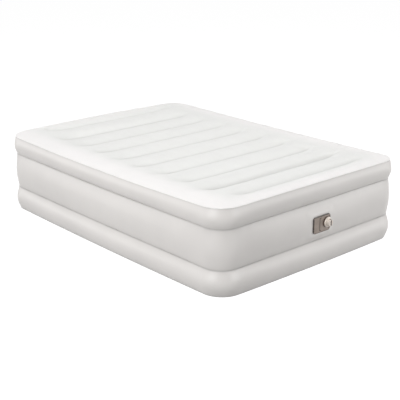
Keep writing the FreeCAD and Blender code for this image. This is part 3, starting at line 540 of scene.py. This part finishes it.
def face_finish(tone, dark):
    """The taupe plate and door, with painted shade along the door's hinge gap, in the dial's recess and on
    the rim.
    """
    low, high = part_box("cord_door")
    dial_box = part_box("dial_knob")
    finish = moulded_finish("pump_face", tone, rough=0.45, grain=0.4)
    hinge_inset, hinge_start, hinge_end, hinge_margin = 0.0022, 0.001, 0.0032, 0.001
    to_hinge = abs(finish.axis("X") - (high[0] - hinge_inset))
    up = finish.axis("Z")
    inside_door = (up < high[2] + hinge_margin) * (up > low[2] - hinge_margin)
    hinge_line = (1 - to_hinge.step(hinge_start, hinge_end)) * inside_door
    dial_x, rim = middle_and_half(*dial_box, 0)
    dial_z = middle_and_half(*dial_box, 2)[0]
    from_dial_x, from_dial_z = finish.axis("X") - dial_x, up - dial_z
    to_dial = (from_dial_x * from_dial_x + from_dial_z * from_dial_z) ** 0.5
    recess_inside, recess_outside = 0.002, 0.0035
    recess = 1 - to_dial.step(rim - recess_inside, rim + recess_outside)
    edge = 1 - within_face(finish, "X", 0) * within_face(finish, "Z", 2)
    # painted shade: the hinge gap, the dial's recess and the plate's rim are darkened towards the rubber's
    # tone
    hinge_shade, recess_shade, edge_dark = 0.85, 0.6, 0.8
    plastic = finish.shader.inputs["Base Color"].links[0].from_socket
    painted_shade = hinge_line * hinge_shade + recess * recess_shade + edge * edge_dark
    finish.set(Base_Color=finish.blend(painted_shade, plastic, dark))
    return finish.material


def dial_finish(tone, side_tone):
    """A pale front over a dark skirt, with the grip's slot dark too."""
    low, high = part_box("dial_knob")
    stem_low, stem_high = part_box("dial_stem")
    centre_x, centre_z = (low[0] + high[0]) / 2, (low[2] + high[2]) / 2
    skirt, slot_width, slot_depth, front_skin = 0.0068, 0.0036, 0.0093, 0.0002
    edge_radius, edge_depth, edge_dark = (stem_high[0] - stem_low[0]) * 1.66, 0.002, 0.25
    finish = moulded_finish("dial_plastic", tone, rough=0.34, grain=0.15)
    across = abs(finish.axis("X") - centre_x)
    radius_squared = across * across + (finish.axis("Z") - centre_z) ** 2
    depth = finish.axis("Y")
    on_skirt = depth > high[1] - skirt
    in_slot = (across < slot_width) * (depth < low[1] + slot_depth) * (depth > low[1] + front_skin)
    edge = (radius_squared > edge_radius ** 2) * (depth < low[1] + edge_depth) * edge_dark
    mask = on_skirt + in_slot * (1 - on_skirt) + edge
    plastic = finish.shader.inputs["Base Color"].links[0].from_socket
    finish.set(Base_Color=finish.blend(mask, plastic, side_tone))
    return finish.material


def metal_finish(name, tone, rough=0.3, along=(900, 30, 900)):
    """Drawn or turned metal with fine lines along one direction."""
    finish = Finish(name)
    lines = finish.noise(scale=1, detail=3, roughness=0.6, where=finish.stretched(along))
    tarnish = finish.noise(scale=90, detail=3, roughness=0.6)
    aged = finish.blend(tarnish.step(0.35, 0.75), tone, shade(tone, 0.78))
    finish.bump(lines, strength=0.2, distance=0.0003)
    line_gloss = 0.25
    finish.set(Base_Color=aged, Metallic=1.0, Roughness=rough + (lines - MIDDLE) * line_gloss)
    return finish.material


def rubber_finish(tone):
    """Soft black rubber with a pale bloom in places."""
    finish = Finish("soft_rubber")
    bloom = finish.noise(scale=120, detail=4, roughness=0.6)
    finish.bump(finish.noise(scale=1400), strength=0.25, distance=0.0003)
    finish.set(Base_Color=finish.blend(bloom.step(0.4, 0.8), tone, shade(tone, 1.6)), Roughness=0.62)
    return finish.material


def winding_finish(tone):
    """Enamelled wire laid along the armature, with painted shade between its turns."""
    finish = Finish("winding")
    wires = finish.value("ShaderNodeTexWave", {"bands_direction": "X"}, {
        "Vector": finish.place(), "Scale": 260, "Distortion": 0.6})
    finish.bump(wires, strength=0.5, distance=0.0004)
    smooth, wire_gloss = 0.3, 0.15
    # painted shade: the colour darkens between the turns of wire
    finish.set(Base_Color=finish.blend(wires, shade(tone, 0.35), tone), Metallic=0.8,
               Roughness=smooth + wires * wire_gloss)
    return finish.material


def give(material, *names):
    """Sets a frame node's own material slots."""
    for name in names:
        node = frame["nodes"][name]
        if not node.material_slots:
            node.data.materials.append(material)
        for place in node.material_slots:
            place.material = material


# ---------------------------------------------------------------- the soft sheets

def sheet_lines(outline, inset):
    """Grid lines of a sheet that covers the bed: through the welds and the starts of the corners."""
    flat_x, flat_y = outline.half_x - outline.radius, outline.half_y - outline.radius
    edge_x, edge_y = outline.half_x - inset, outline.half_y - inset
    corner_cells = 8
    beams = beam_lines()
    cells_between = max(4, 2 * round(PITCH / outline.cell / 2))
    across = outline.stations(-flat_x, flat_x)
    along = [-flat_y]
    for start in beams[:-1]:
        along += list(start + PITCH * np.arange(cells_between) / cells_between)
    along += [beams[-1], flat_y]
    low_x = list(np.linspace(-edge_x, -flat_x, corner_cells + 1))[:-1]
    low_y = list(np.linspace(-edge_y, -flat_y, corner_cells + 1))[:-1]
    xs = np.array(low_x + across + [-x for x in low_x[::-1]])
    ys = np.array(low_y + along + [-y for y in low_y[::-1]])
    return xs, ys


def round_corners(outline, inset, x, y):
    """Moves a point of a square corner block into the round corner."""
    flat_x, flat_y = outline.half_x - outline.radius, outline.half_y - outline.radius
    radius = outline.radius - inset
    out_x, out_y = abs(x) - flat_x, abs(y) - flat_y
    if out_x <= 0 or out_y <= 0:
        return x, y
    across, along = out_x / radius, out_y / radius
    round_x = flat_x + radius * across * (1 - along * along / 2) ** 0.5
    round_y = flat_y + radius * along * (1 - across * across / 2) ** 0.5
    return (round_x if x > 0 else -round_x), (round_y if y > 0 else -round_y)


def beam_lines():
    """Where the beams stand along the bed."""
    return [FIRST_BEAM + PITCH * number for number in range(BEAM_COUNT)]


def to_weld(y):
    """How far a line across the bed lies from the nearest beam's weld."""
    return min(abs(y - FIRST_BEAM - PITCH * number) for number in range(BEAM_COUNT))


def beam_hold(x, fade):
    """How firmly a beam holds the sheet: fully along its middle, and less towards its ends."""
    hold_power = 1.5
    inside = (BEAM_REACH - abs(x)) / fade
    return float(np.clip(inside, 0, 1)) ** hold_power


def relax(heights, xs, ys, hold, held_height, load, rounds=900):
    """Settles a skin over its supports: each point hangs between its neighbours under the load."""
    step_x = np.gradient(xs)[1:-1, None]
    step_y = np.gradient(ys)[None, 1:-1]
    pull_x, pull_y = 1 / step_x ** 2, 1 / step_y ** 2
    firmness = 4
    grip = hold[1:-1, 1:-1] * firmness * (pull_x + pull_y)
    total = 2 * pull_x + 2 * pull_y + grip
    for _ in range(rounds):
        around = (heights[:-2, 1:-1] + heights[2:, 1:-1]) * pull_x
        around += (heights[1:-1, :-2] + heights[1:-1, 2:]) * pull_y
        heights[1:-1, 1:-1] = (around + load[1:-1, 1:-1] + grip * held_height) / total
    return heights


def grid_faces(count_x, count_y):
    """The faces of a grid whose points run along Y first."""
    firsts = [i * count_y + j for i in range(count_x - 1) for j in range(count_y - 1)]
    return [(first, first + count_y, first + count_y + 1, first + 1) for first in firsts]


def build_top_sheet(shape, colours):
    """The flocked sheet: a border beam all round, and channels sunk between the welds."""
    outline = Outline(shape)
    seam_overlap = 0.001
    inset = shape.groove - seam_overlap
    xs, ys = sheet_lines(outline, inset)
    seam = upper_high[2]
    on_weld = np.array([to_weld(y) for y in ys]) < ON_WELD
    on_end_weld = on_weld & ((abs(ys - FIRST_BEAM) < ON_WELD) | (abs(ys - LAST_BEAM) < ON_WELD))
    hold = np.zeros((len(xs), len(ys)))
    for i, x in enumerate(xs):
        hold[i, on_weld] = beam_hold(x, shape.crease_fade)
        hold[i, on_end_weld] *= shape.end_hold
    heights = np.array([[seam + outline.wave(x, y) for y in ys] for x in xs])
    channel_load = 8 * shape.channel_rise / PITCH ** 2
    border_share, end_share, panel_share = 0.5, 0.8, 0.5
    in_panel = np.clip((BEAM_REACH - abs(xs)) / shape.crease_fade, 0, 1)[:, None]
    side_load = channel_load * (border_share + panel_share * in_panel)
    end_load = channel_load * (end_share + panel_share * in_panel)
    load = np.where((abs(ys) < LAST_BEAM)[None, :], side_load, end_load)
    relax(heights, xs, ys, hold, shape.crease, load)

    points, welds = [], []
    last_x, last_y = len(xs) - 1, len(ys) - 1
    for i, x in enumerate(xs):
        for j, y in enumerate(ys):
            rounded = round_corners(outline, inset, x, y)
            points.append((*outline.swell(*rounded), heights[i, j]))
            rim = i in (0, last_x) or j in (0, last_y)
            # the weld closeness here also sets the painted shade in the creases and at the rim
            welds.append(1.0 if rim else hold[i, j])
    name = "top_sheet_flocked"
    piece = new_piece(name, mesh_of(name, points, grid_faces(len(xs), len(ys)), welds))
    inflate(piece, welds, pressure=2.0, cap=0.004, stiffness=30)
    pucker(piece, depth=0.0012)
    finish_sheet(piece, shape.sheet, "bed", "top_sheet", flocked_finish(colours.flock))


def near_opening(x, y, z, opening, margin):
    """Whether a point of the wall lies in the pump's opening or within a margin of it."""
    low, high = opening
    return y < 0 and low[0] - margin < x < high[0] + margin and low[1] - margin < z < high[1] + margin


def in_opening(corners, opening):
    """Whether a face of the wall lies in the opening cut for the pump's housing."""
    centre = [sum(corner[axis] for corner in corners) / len(corners) for axis in range(3)]
    return near_opening(*centre, opening, margin=0)


def seat_on_collar(x, y, z):
    """Draws the wall flat over the pump's collar, to which it is welded, and lets it swell beyond."""
    clearance, reach = 0.0035, 0.03
    beyond_x = max(0.0, collar_low[0] - x, x - collar_high[0])
    beyond_z = max(0.0, collar_low[2] - z, z - collar_high[2])
    away = min(1.0, (beyond_x ** 2 + beyond_z ** 2) ** 0.5 / reach)
    seated = 1 - away * away * (3 - 2 * away)
    return y + (collar_low[1] - clearance - y) * seated if y < 0 else y


def build_wall(shape, colours, tier):
    """One tier of the side wall: a belt that swells out between the two welds that draw it in."""
    outline = Outline(shape)
    low, high = tier["heights"]
    middle, half = (low + high) / 2, (high - low) / 2
    levels = np.sin(np.linspace(-pi / 2, pi / 2, tier["rows"] + 1))
    belly_drop, crown_power, on_edge, weld_start, seat_margin = 0.1, 1.2, 0.999, 0.6, 0.035
    opening = tier.get("opening")
    keep_x = ()
    if opening:
        keep_x = (opening[0][0], opening[1][0])
        for edge in (opening[0][1], opening[1][1]):
            wanted = (edge - middle) / half
            levels[np.argmin(abs(levels - wanted))] = wanted
    points, welds, held = [], [], []
    for level in levels:
        groove = tier["insets"][0] if level < 0 else tier["insets"][1]
        skewed = level + belly_drop * (1 - level * level)
        crown = max(0.0, cos(pi / 2 * skewed)) ** crown_power
        inset = groove - (groove - tier["bulge_inset"]) * crown
        deepening = shape.groove_deepening * (1 - crown) * tier["deepens"][int(level > 0)]
        wave_share = tier["waves"][0] + (tier["waves"][1] - tier["waves"][0]) * (level + 1) / 2
        loop = outline.loop(inset, keep_x)
        for x, y in loop:
            z = middle + half * level + wave_share * outline.wave(x, y)
            plan_x, plan_y = outline.draw_in(*outline.swell(x, y), deepening)
            if opening:
                plan_y = seat_on_collar(plan_x, plan_y, z)
            points.append((plan_x, plan_y, z))
            seated = opening and near_opening(x, y, z, opening, seat_margin)
            held.append(1.0 if seated or abs(level) > on_edge else 0.0)
            # the weld closeness also sets the painted shade near the grooves in vinyl_finish
            welds.append(max(0.0, (abs(level) - weld_start) / (1 - weld_start)))
    count = len(loop)
    faces = []
    for row in range(tier["rows"]):
        for step in range(count):
            after = (step + 1) % count
            below, above = row * count, (row + 1) * count
            corners = (below + step, below + after, above + after, above + step)
            if not (opening and in_opening([points[corner] for corner in corners], opening)):
                faces.append(corners)
    used = sorted({corner for face in faces for corner in face})
    number = {old: new for new, old in enumerate(used)}
    points, welds, held = ([values[old] for old in used] for values in (points, welds, held))
    faces = [tuple(number[corner] for corner in face) for face in faces]
    name = tier["name"] + "_vinyl"
    piece = new_piece(name, mesh_of(name, points, faces, welds))
    inflate(piece, held, pressure=1.5, cap=0.0025, stiffness=30)
    pucker(piece, depth=0.0014)
    finish_sheet(piece, shape.sheet, "bed", tier["name"],
                 vinyl_finish(tier["name"] + "_satin", colours.wall))


def wall_tiers(shape):
    """The three tiers, from the floor up: between which heights they run and how they bulge.

    Each pair of insets, waves and deepens is for the tier's lower edge and its upper one.
    """
    lower_weld, upper_weld = wall_high[2], middle_high[2]
    hole_margin = 0.0005
    opening = ((housing_low[0] - hole_margin, housing_low[2] - hole_margin),
               (housing_high[0] + hole_margin, housing_high[2] + hole_margin))
    return (
        {"name": "wall_lower", "heights": (shape.sheet, lower_weld), "rows": 14,
         "insets": (shape.foot, shape.groove), "bulge_inset": 0.0, "waves": (0.0, LOWER_WAVE),
         "deepens": (0, 1)},
        {"name": "wall_middle", "heights": (lower_weld, upper_weld), "rows": 18,
         "insets": (shape.groove, shape.groove), "bulge_inset": 0.007,
         "waves": (LOWER_WAVE, UPPER_WAVE), "deepens": (1, 1), "opening": opening},
        {"name": "wall_upper", "heights": (upper_weld, upper_high[2]), "rows": 12,
         "insets": (shape.groove, shape.groove), "bulge_inset": 0.004, "waves": (UPPER_WAVE, 1.0),
         "deepens": (1, 0)},
    )


def build_base_sheet(shape, colours):
    """The bottom sheet: flat on the floor, and drawn up a little along the beams' welds."""
    outline = Outline(shape)
    xs, ys = sheet_lines(outline, shape.foot)
    lift, lift_reach = 0.0022, 0.03
    points, welds = [], []
    for x in xs:
        for y in ys:
            drawn = beam_hold(x, shape.crease_fade) * max(0.0, 1 - to_weld(y) / lift_reach)
            rounded = round_corners(outline, shape.foot, x, y)
            points.append((*outline.swell(*rounded), shape.sheet + lift * drawn))
            welds.append(drawn)
    name = "bottom_sheet_vinyl"
    piece = new_piece(name, mesh_of(name, points, grid_faces(len(xs), len(ys)), welds))
    finish_sheet(piece, shape.sheet, "bed", "bottom_sheet",
                 vinyl_finish("vinyl_base", colours.base, rough=0.5))


def build_girdle(shape, material, node):
    """A flat ring between the wall's weld and the beams, with vents for the air."""
    outline = Outline(shape)
    low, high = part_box(node)
    height = (low[2] + high[2]) / 2
    reach_x, reach_y = BEAM_REACH, LAST_BEAM + (beam_high[1] - beam_low[1]) / 2
    loop = outline.loop(shape.groove + 2 * shape.sheet)
    outer = [outline.draw_in(*outline.swell(x, y), shape.groove_deepening) for x, y in loop]
    inner = [(float(np.clip(x, -reach_x, reach_x)), float(np.clip(y, -reach_y, reach_y)))
             for x, y in outer]
    wave_share = UPPER_WAVE if height > (middle_low[2] + middle_high[2]) / 2 else LOWER_WAVE
    points = [(x, y, height + wave_share * outline.wave(x, y)) for x, y in outer]
    points += [(x, y, height) for x, y in inner]
    count = len(outer)
    nexts = [(step + 1) % count for step in range(count)]
    faces = [(step, after, count + after, count + step) for step, after in enumerate(nexts)]
    name, merge_distance, least_edge = node + "_sheet", 1e-5, 1e-6
    piece = new_piece(name, mesh_of(name, points, faces, [0.0] * len(points)))
    cloth = bmesh.new()
    cloth.from_mesh(piece.data)
    bmesh.ops.remove_doubles(cloth, verts=cloth.verts, dist=merge_distance)
    bmesh.ops.dissolve_degenerate(cloth, edges=cloth.edges, dist=least_edge)
    cloth.to_mesh(piece.data)
    cloth.free()
    wall = piece.modifiers.new("sheet", "SOLIDIFY")
    wall.thickness = 2 * shape.sheet
    wall.offset = 0
    apply_modifier(piece, wall)
    cut_vents(piece, height, reach_x, reach_y)
    piece.data.materials.append(material)
    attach(piece, "bed")
    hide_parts(node)


def cut_vents(piece, height, reach_x, reach_y):
    """Round vents through the ring, six along each side and three along each end."""
    vent_radius, side_count, end_count, line_inset, cutter_height = 0.015, 6, 3, 0.012, 0.05
    side_line = (wall_high[0] + reach_x) / 2 - line_inset
    end_line = (wall_high[1] + reach_y) / 2 - line_inset
    places = []
    for side in (-1, 1):
        places += [(side * side_line, along) for along in spread(reach_y, side_count)]
        places += [(along, side * end_line) for along in spread(reach_x, end_count)]
    cutters = []
    for x, y in places:
        bpy.ops.mesh.primitive_cylinder_add(
            vertices=32, radius=vent_radius, depth=cutter_height, location=(x, y, height))
        cutters.append(bpy.context.view_layer.objects.active)
    bpy.ops.object.select_all(action="DESELECT")
    for joined in cutters:
        joined.select_set(True)
    bpy.ops.object.join()
    cutter = cutters[-1]
    vents = piece.modifiers.new("vents", "BOOLEAN")
    vents.object = cutter
    vents.operation = "DIFFERENCE"
    vents.solver = "EXACT"
    apply_modifier(piece, vents)
    bpy.data.objects.remove(cutter)


def spread(reach, count):
    """Evenly spaced places between -reach and reach, half a step in from each end."""
    return [reach * 2 * (number + 0.5) / count - reach for number in range(count)]


def build_valve_spring(steel):
    """The check valve's coil: a smoothed steel copy of the frame's spring, set in the bed in its place."""
    low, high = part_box("check_valve_spring")
    merge_distance, crease_angle = 1e-6, radians(50)
    piece = new_piece("check_valve_coil", frame["nodes"]["check_valve_spring"].data.copy())
    only(piece)
    bpy.ops.object.mode_set(mode="EDIT")
    bpy.ops.mesh.select_all(action="SELECT")
    bpy.ops.mesh.remove_doubles(threshold=merge_distance)
    bpy.ops.object.mode_set(mode="OBJECT")
    bpy.ops.object.shade_smooth_by_angle(angle=crease_angle)
    piece.data.materials.clear()
    piece.data.materials.append(steel)
    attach(piece, "bed")
    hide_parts("check_valve_spring")
    joint = next(joint for joint in frame["joints"] if joint["name"] == "check_valve_lift")
    free_length, lift = high[1] - low[1], joint["range_m"][1]
    (free_length - lift) / free_length
    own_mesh(piece)


# ---------------------------------------------------------------- operators

class AIRBED_OT_top_sheet(bpy.types.Operator):
    """Build the flocked sleeping surface"""
    bl_idname = "airbed.top_sheet"
    bl_label = "Top Sheet"

    def execute(self, context):
        build_top_sheet(context.scene.airbed_shape, context.scene.airbed_colours)
        return {"FINISHED"}


class AIRBED_OT_side_wall(bpy.types.Operator):
    """Build the three tiers of the side wall"""
    bl_idname = "airbed.side_wall"
    bl_label = "Side Wall"

    def execute(self, context):
        for tier in wall_tiers(context.scene.airbed_shape):
            build_wall(context.scene.airbed_shape, context.scene.airbed_colours, tier)
        return {"FINISHED"}


class AIRBED_OT_bottom_sheet(bpy.types.Operator):
    """Build the bottom sheet"""
    bl_idname = "airbed.bottom_sheet"
    bl_label = "Bottom Sheet"

    def execute(self, context):
        build_base_sheet(context.scene.airbed_shape, context.scene.airbed_colours)
        return {"FINISHED"}


class AIRBED_OT_inner_sheets(bpy.types.Operator):
    """Build the girdles and finish the beams and the pump's collar"""
    bl_idname = "airbed.inner_sheets"
    bl_label = "Inner Sheets"

    def execute(self, context):
        plain = vinyl_finish("vinyl_beam", context.scene.airbed_colours.beam, rough=0.45)
        for node in ("girdle_lower", "girdle_upper"):
            build_girdle(context.scene.airbed_shape, plain, node)
        give(plain, "pump_collar", *(f"cross_beam_{number + 1}" for number in range(BEAM_COUNT)))
        return {"FINISHED"}


class AIRBED_OT_pump_face(bpy.types.Operator):
    """Finish the pump's face, door, dial and gasket"""
    bl_idname = "airbed.pump_face"
    bl_label = "Pump Face"

    def execute(self, context):
        colours = context.scene.airbed_colours
        give(face_finish(colours.face, colours.rubber), "faceplate", "cord_door")
        give(dial_finish(colours.dial, colours.dial_side), "dial_knob")
        give(rubber_finish(colours.rubber), "pump_gasket", "cord_gland", "check_valve_disc")
        return {"FINISHED"}


class AIRBED_OT_pump_inside(bpy.types.Operator):
    """Finish the housing, the valve, the blower and the motor"""
    bl_idname = "airbed.pump_inside"
    bl_label = "Pump Inside"

    def execute(self, context):
        colours = context.scene.airbed_colours
        steel = metal_finish("steel", colours.steel)
        build_valve_spring(steel)
        give(moulded_finish("pump_shell", colours.shell, rough=0.5).material,
             "pump_housing", "cord_tray", "motor_switch")
        give(moulded_finish("pump_inner", colours.inner).material,
             "dial_stem", "valve_rotor", "valve_seat", "switch_cam", "blower_casing", "impeller")
        give(metal_finish("black_screws", colours.screw), "faceplate_screws")
        give(steel, "door_hinge_pin", "motor_bracket", "motor_can", "motor_end_cap", "motor_shaft",
             "stator_ring")
        give(metal_finish("bush_brass", colours.brass, rough=0.35, along=(30, 900, 30)), "motor_bushes")
        give(winding_finish(colours.copper), "armature")
        give(moulded_finish("carbon", colours.carbon, rough=0.7).material, "carbon_brushes")
        return {"FINISHED"}


class AIRBED_OT_stage(bpy.types.Operator):
    """Set the floor, the lights and the camera"""
    bl_idname = "airbed.stage"
    bl_label = "Stage"

    def execute(self, context):
        build_floor()
        set_lights(context.scene)
        set_camera(context.scene, context.scene.airbed_view)
        return {"FINISHED"}


class AIRBED_PT_panel(bpy.types.Panel):
    """Lists the operators, and the sizes and colours that they use"""
    bl_label = "Air Bed"
    bl_idname = "AIRBED_PT_panel"
    bl_space_type = "VIEW_3D"
    bl_region_type = "UI"
    bl_category = "Air Bed"

    def draw(self, context):
        for operator in BUILDERS:
            self.layout.operator(operator.bl_idname)
        scene = context.scene
        for group in (scene.airbed_shape, scene.airbed_colours, scene.airbed_view):
            box = self.layout.box()
            for name in group.__annotations__:
                box.prop(group, name)


# ---------------------------------------------------------------- floor, light and camera

WHITE = (1, 1, 1, 1)


def diffuse(finish, brightness):
    """A plain grey surface's output."""
    grey = (brightness, brightness, brightness, 1)
    return finish.node("ShaderNodeBsdfDiffuse", None, {"Color": grey}).outputs[0]


def mixed(finish, share, first, second):
    """The output of two surfaces mixed, the second by its share."""
    return finish.node("ShaderNodeMixShader", None, {0: share, 1: first, 2: second}).outputs[0]


def floor_material():
    """White to the camera, with a faint shadow under the bed, and a dark felt to the bed itself."""
    finish = Finish("studio_floor")
    glow_share, glow_strength, paper, felt = 0.72, 1.33, 0.8, 0.07
    glow = finish.node("ShaderNodeEmission", None, {"Color": WHITE, "Strength": glow_strength})
    white = mixed(finish, glow_share, diffuse(finish, paper), glow.outputs[0])
    floor = mixed(finish, finish.seen_straight(), diffuse(finish, felt), white)
    finish.feed(finish.tree.nodes["Material Output"].inputs["Surface"], floor)
    finish.tree.nodes.remove(finish.shader)
    return finish.material


def build_floor():
    floor_size = 60
    bpy.ops.object.select_all(action="DESELECT")
    bpy.ops.mesh.primitive_plane_add(size=floor_size, location=(0, 0, 0))
    floor = bpy.context.view_layer.objects.active
    floor.name = "studio_floor"
    floor.data.materials.append(floor_material())


def add_lamp(name, place, aim, size, power):
    lamp = bpy.data.lights.new(name, "AREA")
    lamp.shape = "RECTANGLE"
    lamp.size, lamp.size_y = size
    lamp.energy = power
    holder = bpy.data.objects.new(name, lamp)
    bpy.context.scene.collection.objects.link(holder)
    holder.location = place
    holder.rotation_euler = (Vector(aim) - Vector(place)).to_track_quat("-Z", "Y").to_euler()


# Each lamp's name, place, size and power in watts.
LAMPS = (
    ("key", (-4.9, -0.9, 1.4), (3.0, 0.8), 149),
    ("end_key", (0.9, -5.2, 1.4), (2.6, 0.8), 100),
    ("side_glint", (-3.5, 3.8, 0.3), (3.4, 0.5), 33),
    ("end_glint", (3.6, -3.7, 0.3), (3.0, 0.5), 35),
    ("corner_glint", (-2.6, -1.5, 3.5), (0.6, 0.6), 9),
    ("overhead", (0.0, 0.0, 4.4), (2.4, 2.4), 85),
    ("back_side", (5.0, 0.6, 1.6), (3.6, 1.2), 70),
    ("back_end", (-0.4, 5.4, 1.6), (2.8, 1.2), 60),
)


def set_lights(scene):
    """Soft keys along the near sides, low and corner glints, one wide lamp overhead, two behind."""
    middle, ambient = (0, 0, 0.25), 0.14
    for name, place, size, power in LAMPS:
        add_lamp(name, place, middle, size, power)
    world = bpy.data.worlds.new("studio")
    scene.world = world
    world.use_nodes = True
    graph = Graph(world.node_tree)
    seen = graph.seen_straight()
    strength = graph.value("ShaderNodeMapRange", None, {"Value": seen, "To Min": ambient})
    sky = world.node_tree.nodes["Background"]
    graph.feed(sky.inputs["Color"], WHITE)
    graph.feed(sky.inputs["Strength"], strength)


def set_camera(scene, view):
    """Sets the camera at its direction and distance from the target, and makes it the scene's own."""
    lens = bpy.data.cameras.new("camera")
    lens.lens = view.lens
    lens.sensor_width = 36
    camera = bpy.data.objects.new("camera", lens)
    scene.collection.objects.link(camera)
    target = Vector(view.target)
    back = Vector((sin(view.azimuth) * cos(view.elevation), -cos(view.azimuth) * cos(view.elevation),
                   sin(view.elevation)))
    camera.location = target + back * view.distance
    camera.rotation_euler = (-back).to_track_quat("-Z", "Y").to_euler()
    scene.camera = camera
    scene.view_settings.view_transform = "Standard"


# ---------------------------------------------------------------- the add-on

GROUPS = (AirBedShape, AirBedColours, AirBedView)
BUILDERS = (AIRBED_OT_top_sheet, AIRBED_OT_side_wall, AIRBED_OT_bottom_sheet, AIRBED_OT_inner_sheets,
            AIRBED_OT_pump_face, AIRBED_OT_pump_inside, AIRBED_OT_stage)


def register():
    for kind in GROUPS + BUILDERS + (AIRBED_PT_panel,):
        bpy.utils.register_class(kind)
    bpy.types.Scene.airbed_shape = bpy.props.PointerProperty(type=AirBedShape)
    bpy.types.Scene.airbed_colours = bpy.props.PointerProperty(type=AirBedColours)
    bpy.types.Scene.airbed_view = bpy.props.PointerProperty(type=AirBedView)


def unregister():
    del bpy.types.Scene.airbed_view
    del bpy.types.Scene.airbed_colours
    del bpy.types.Scene.airbed_shape
    for kind in (AIRBED_PT_panel,) + BUILDERS[::-1] + GROUPS[::-1]:
        bpy.utils.unregister_class(kind)


def main():
    register()
    bpy.ops.airbed.top_sheet()
    bpy.ops.airbed.side_wall()
    bpy.ops.airbed.bottom_sheet()
    bpy.ops.airbed.inner_sheets()
    bpy.ops.airbed.pump_face()
    bpy.ops.airbed.pump_inside()
    bpy.ops.airbed.stage()


if __name__ == "__main__":
    main()
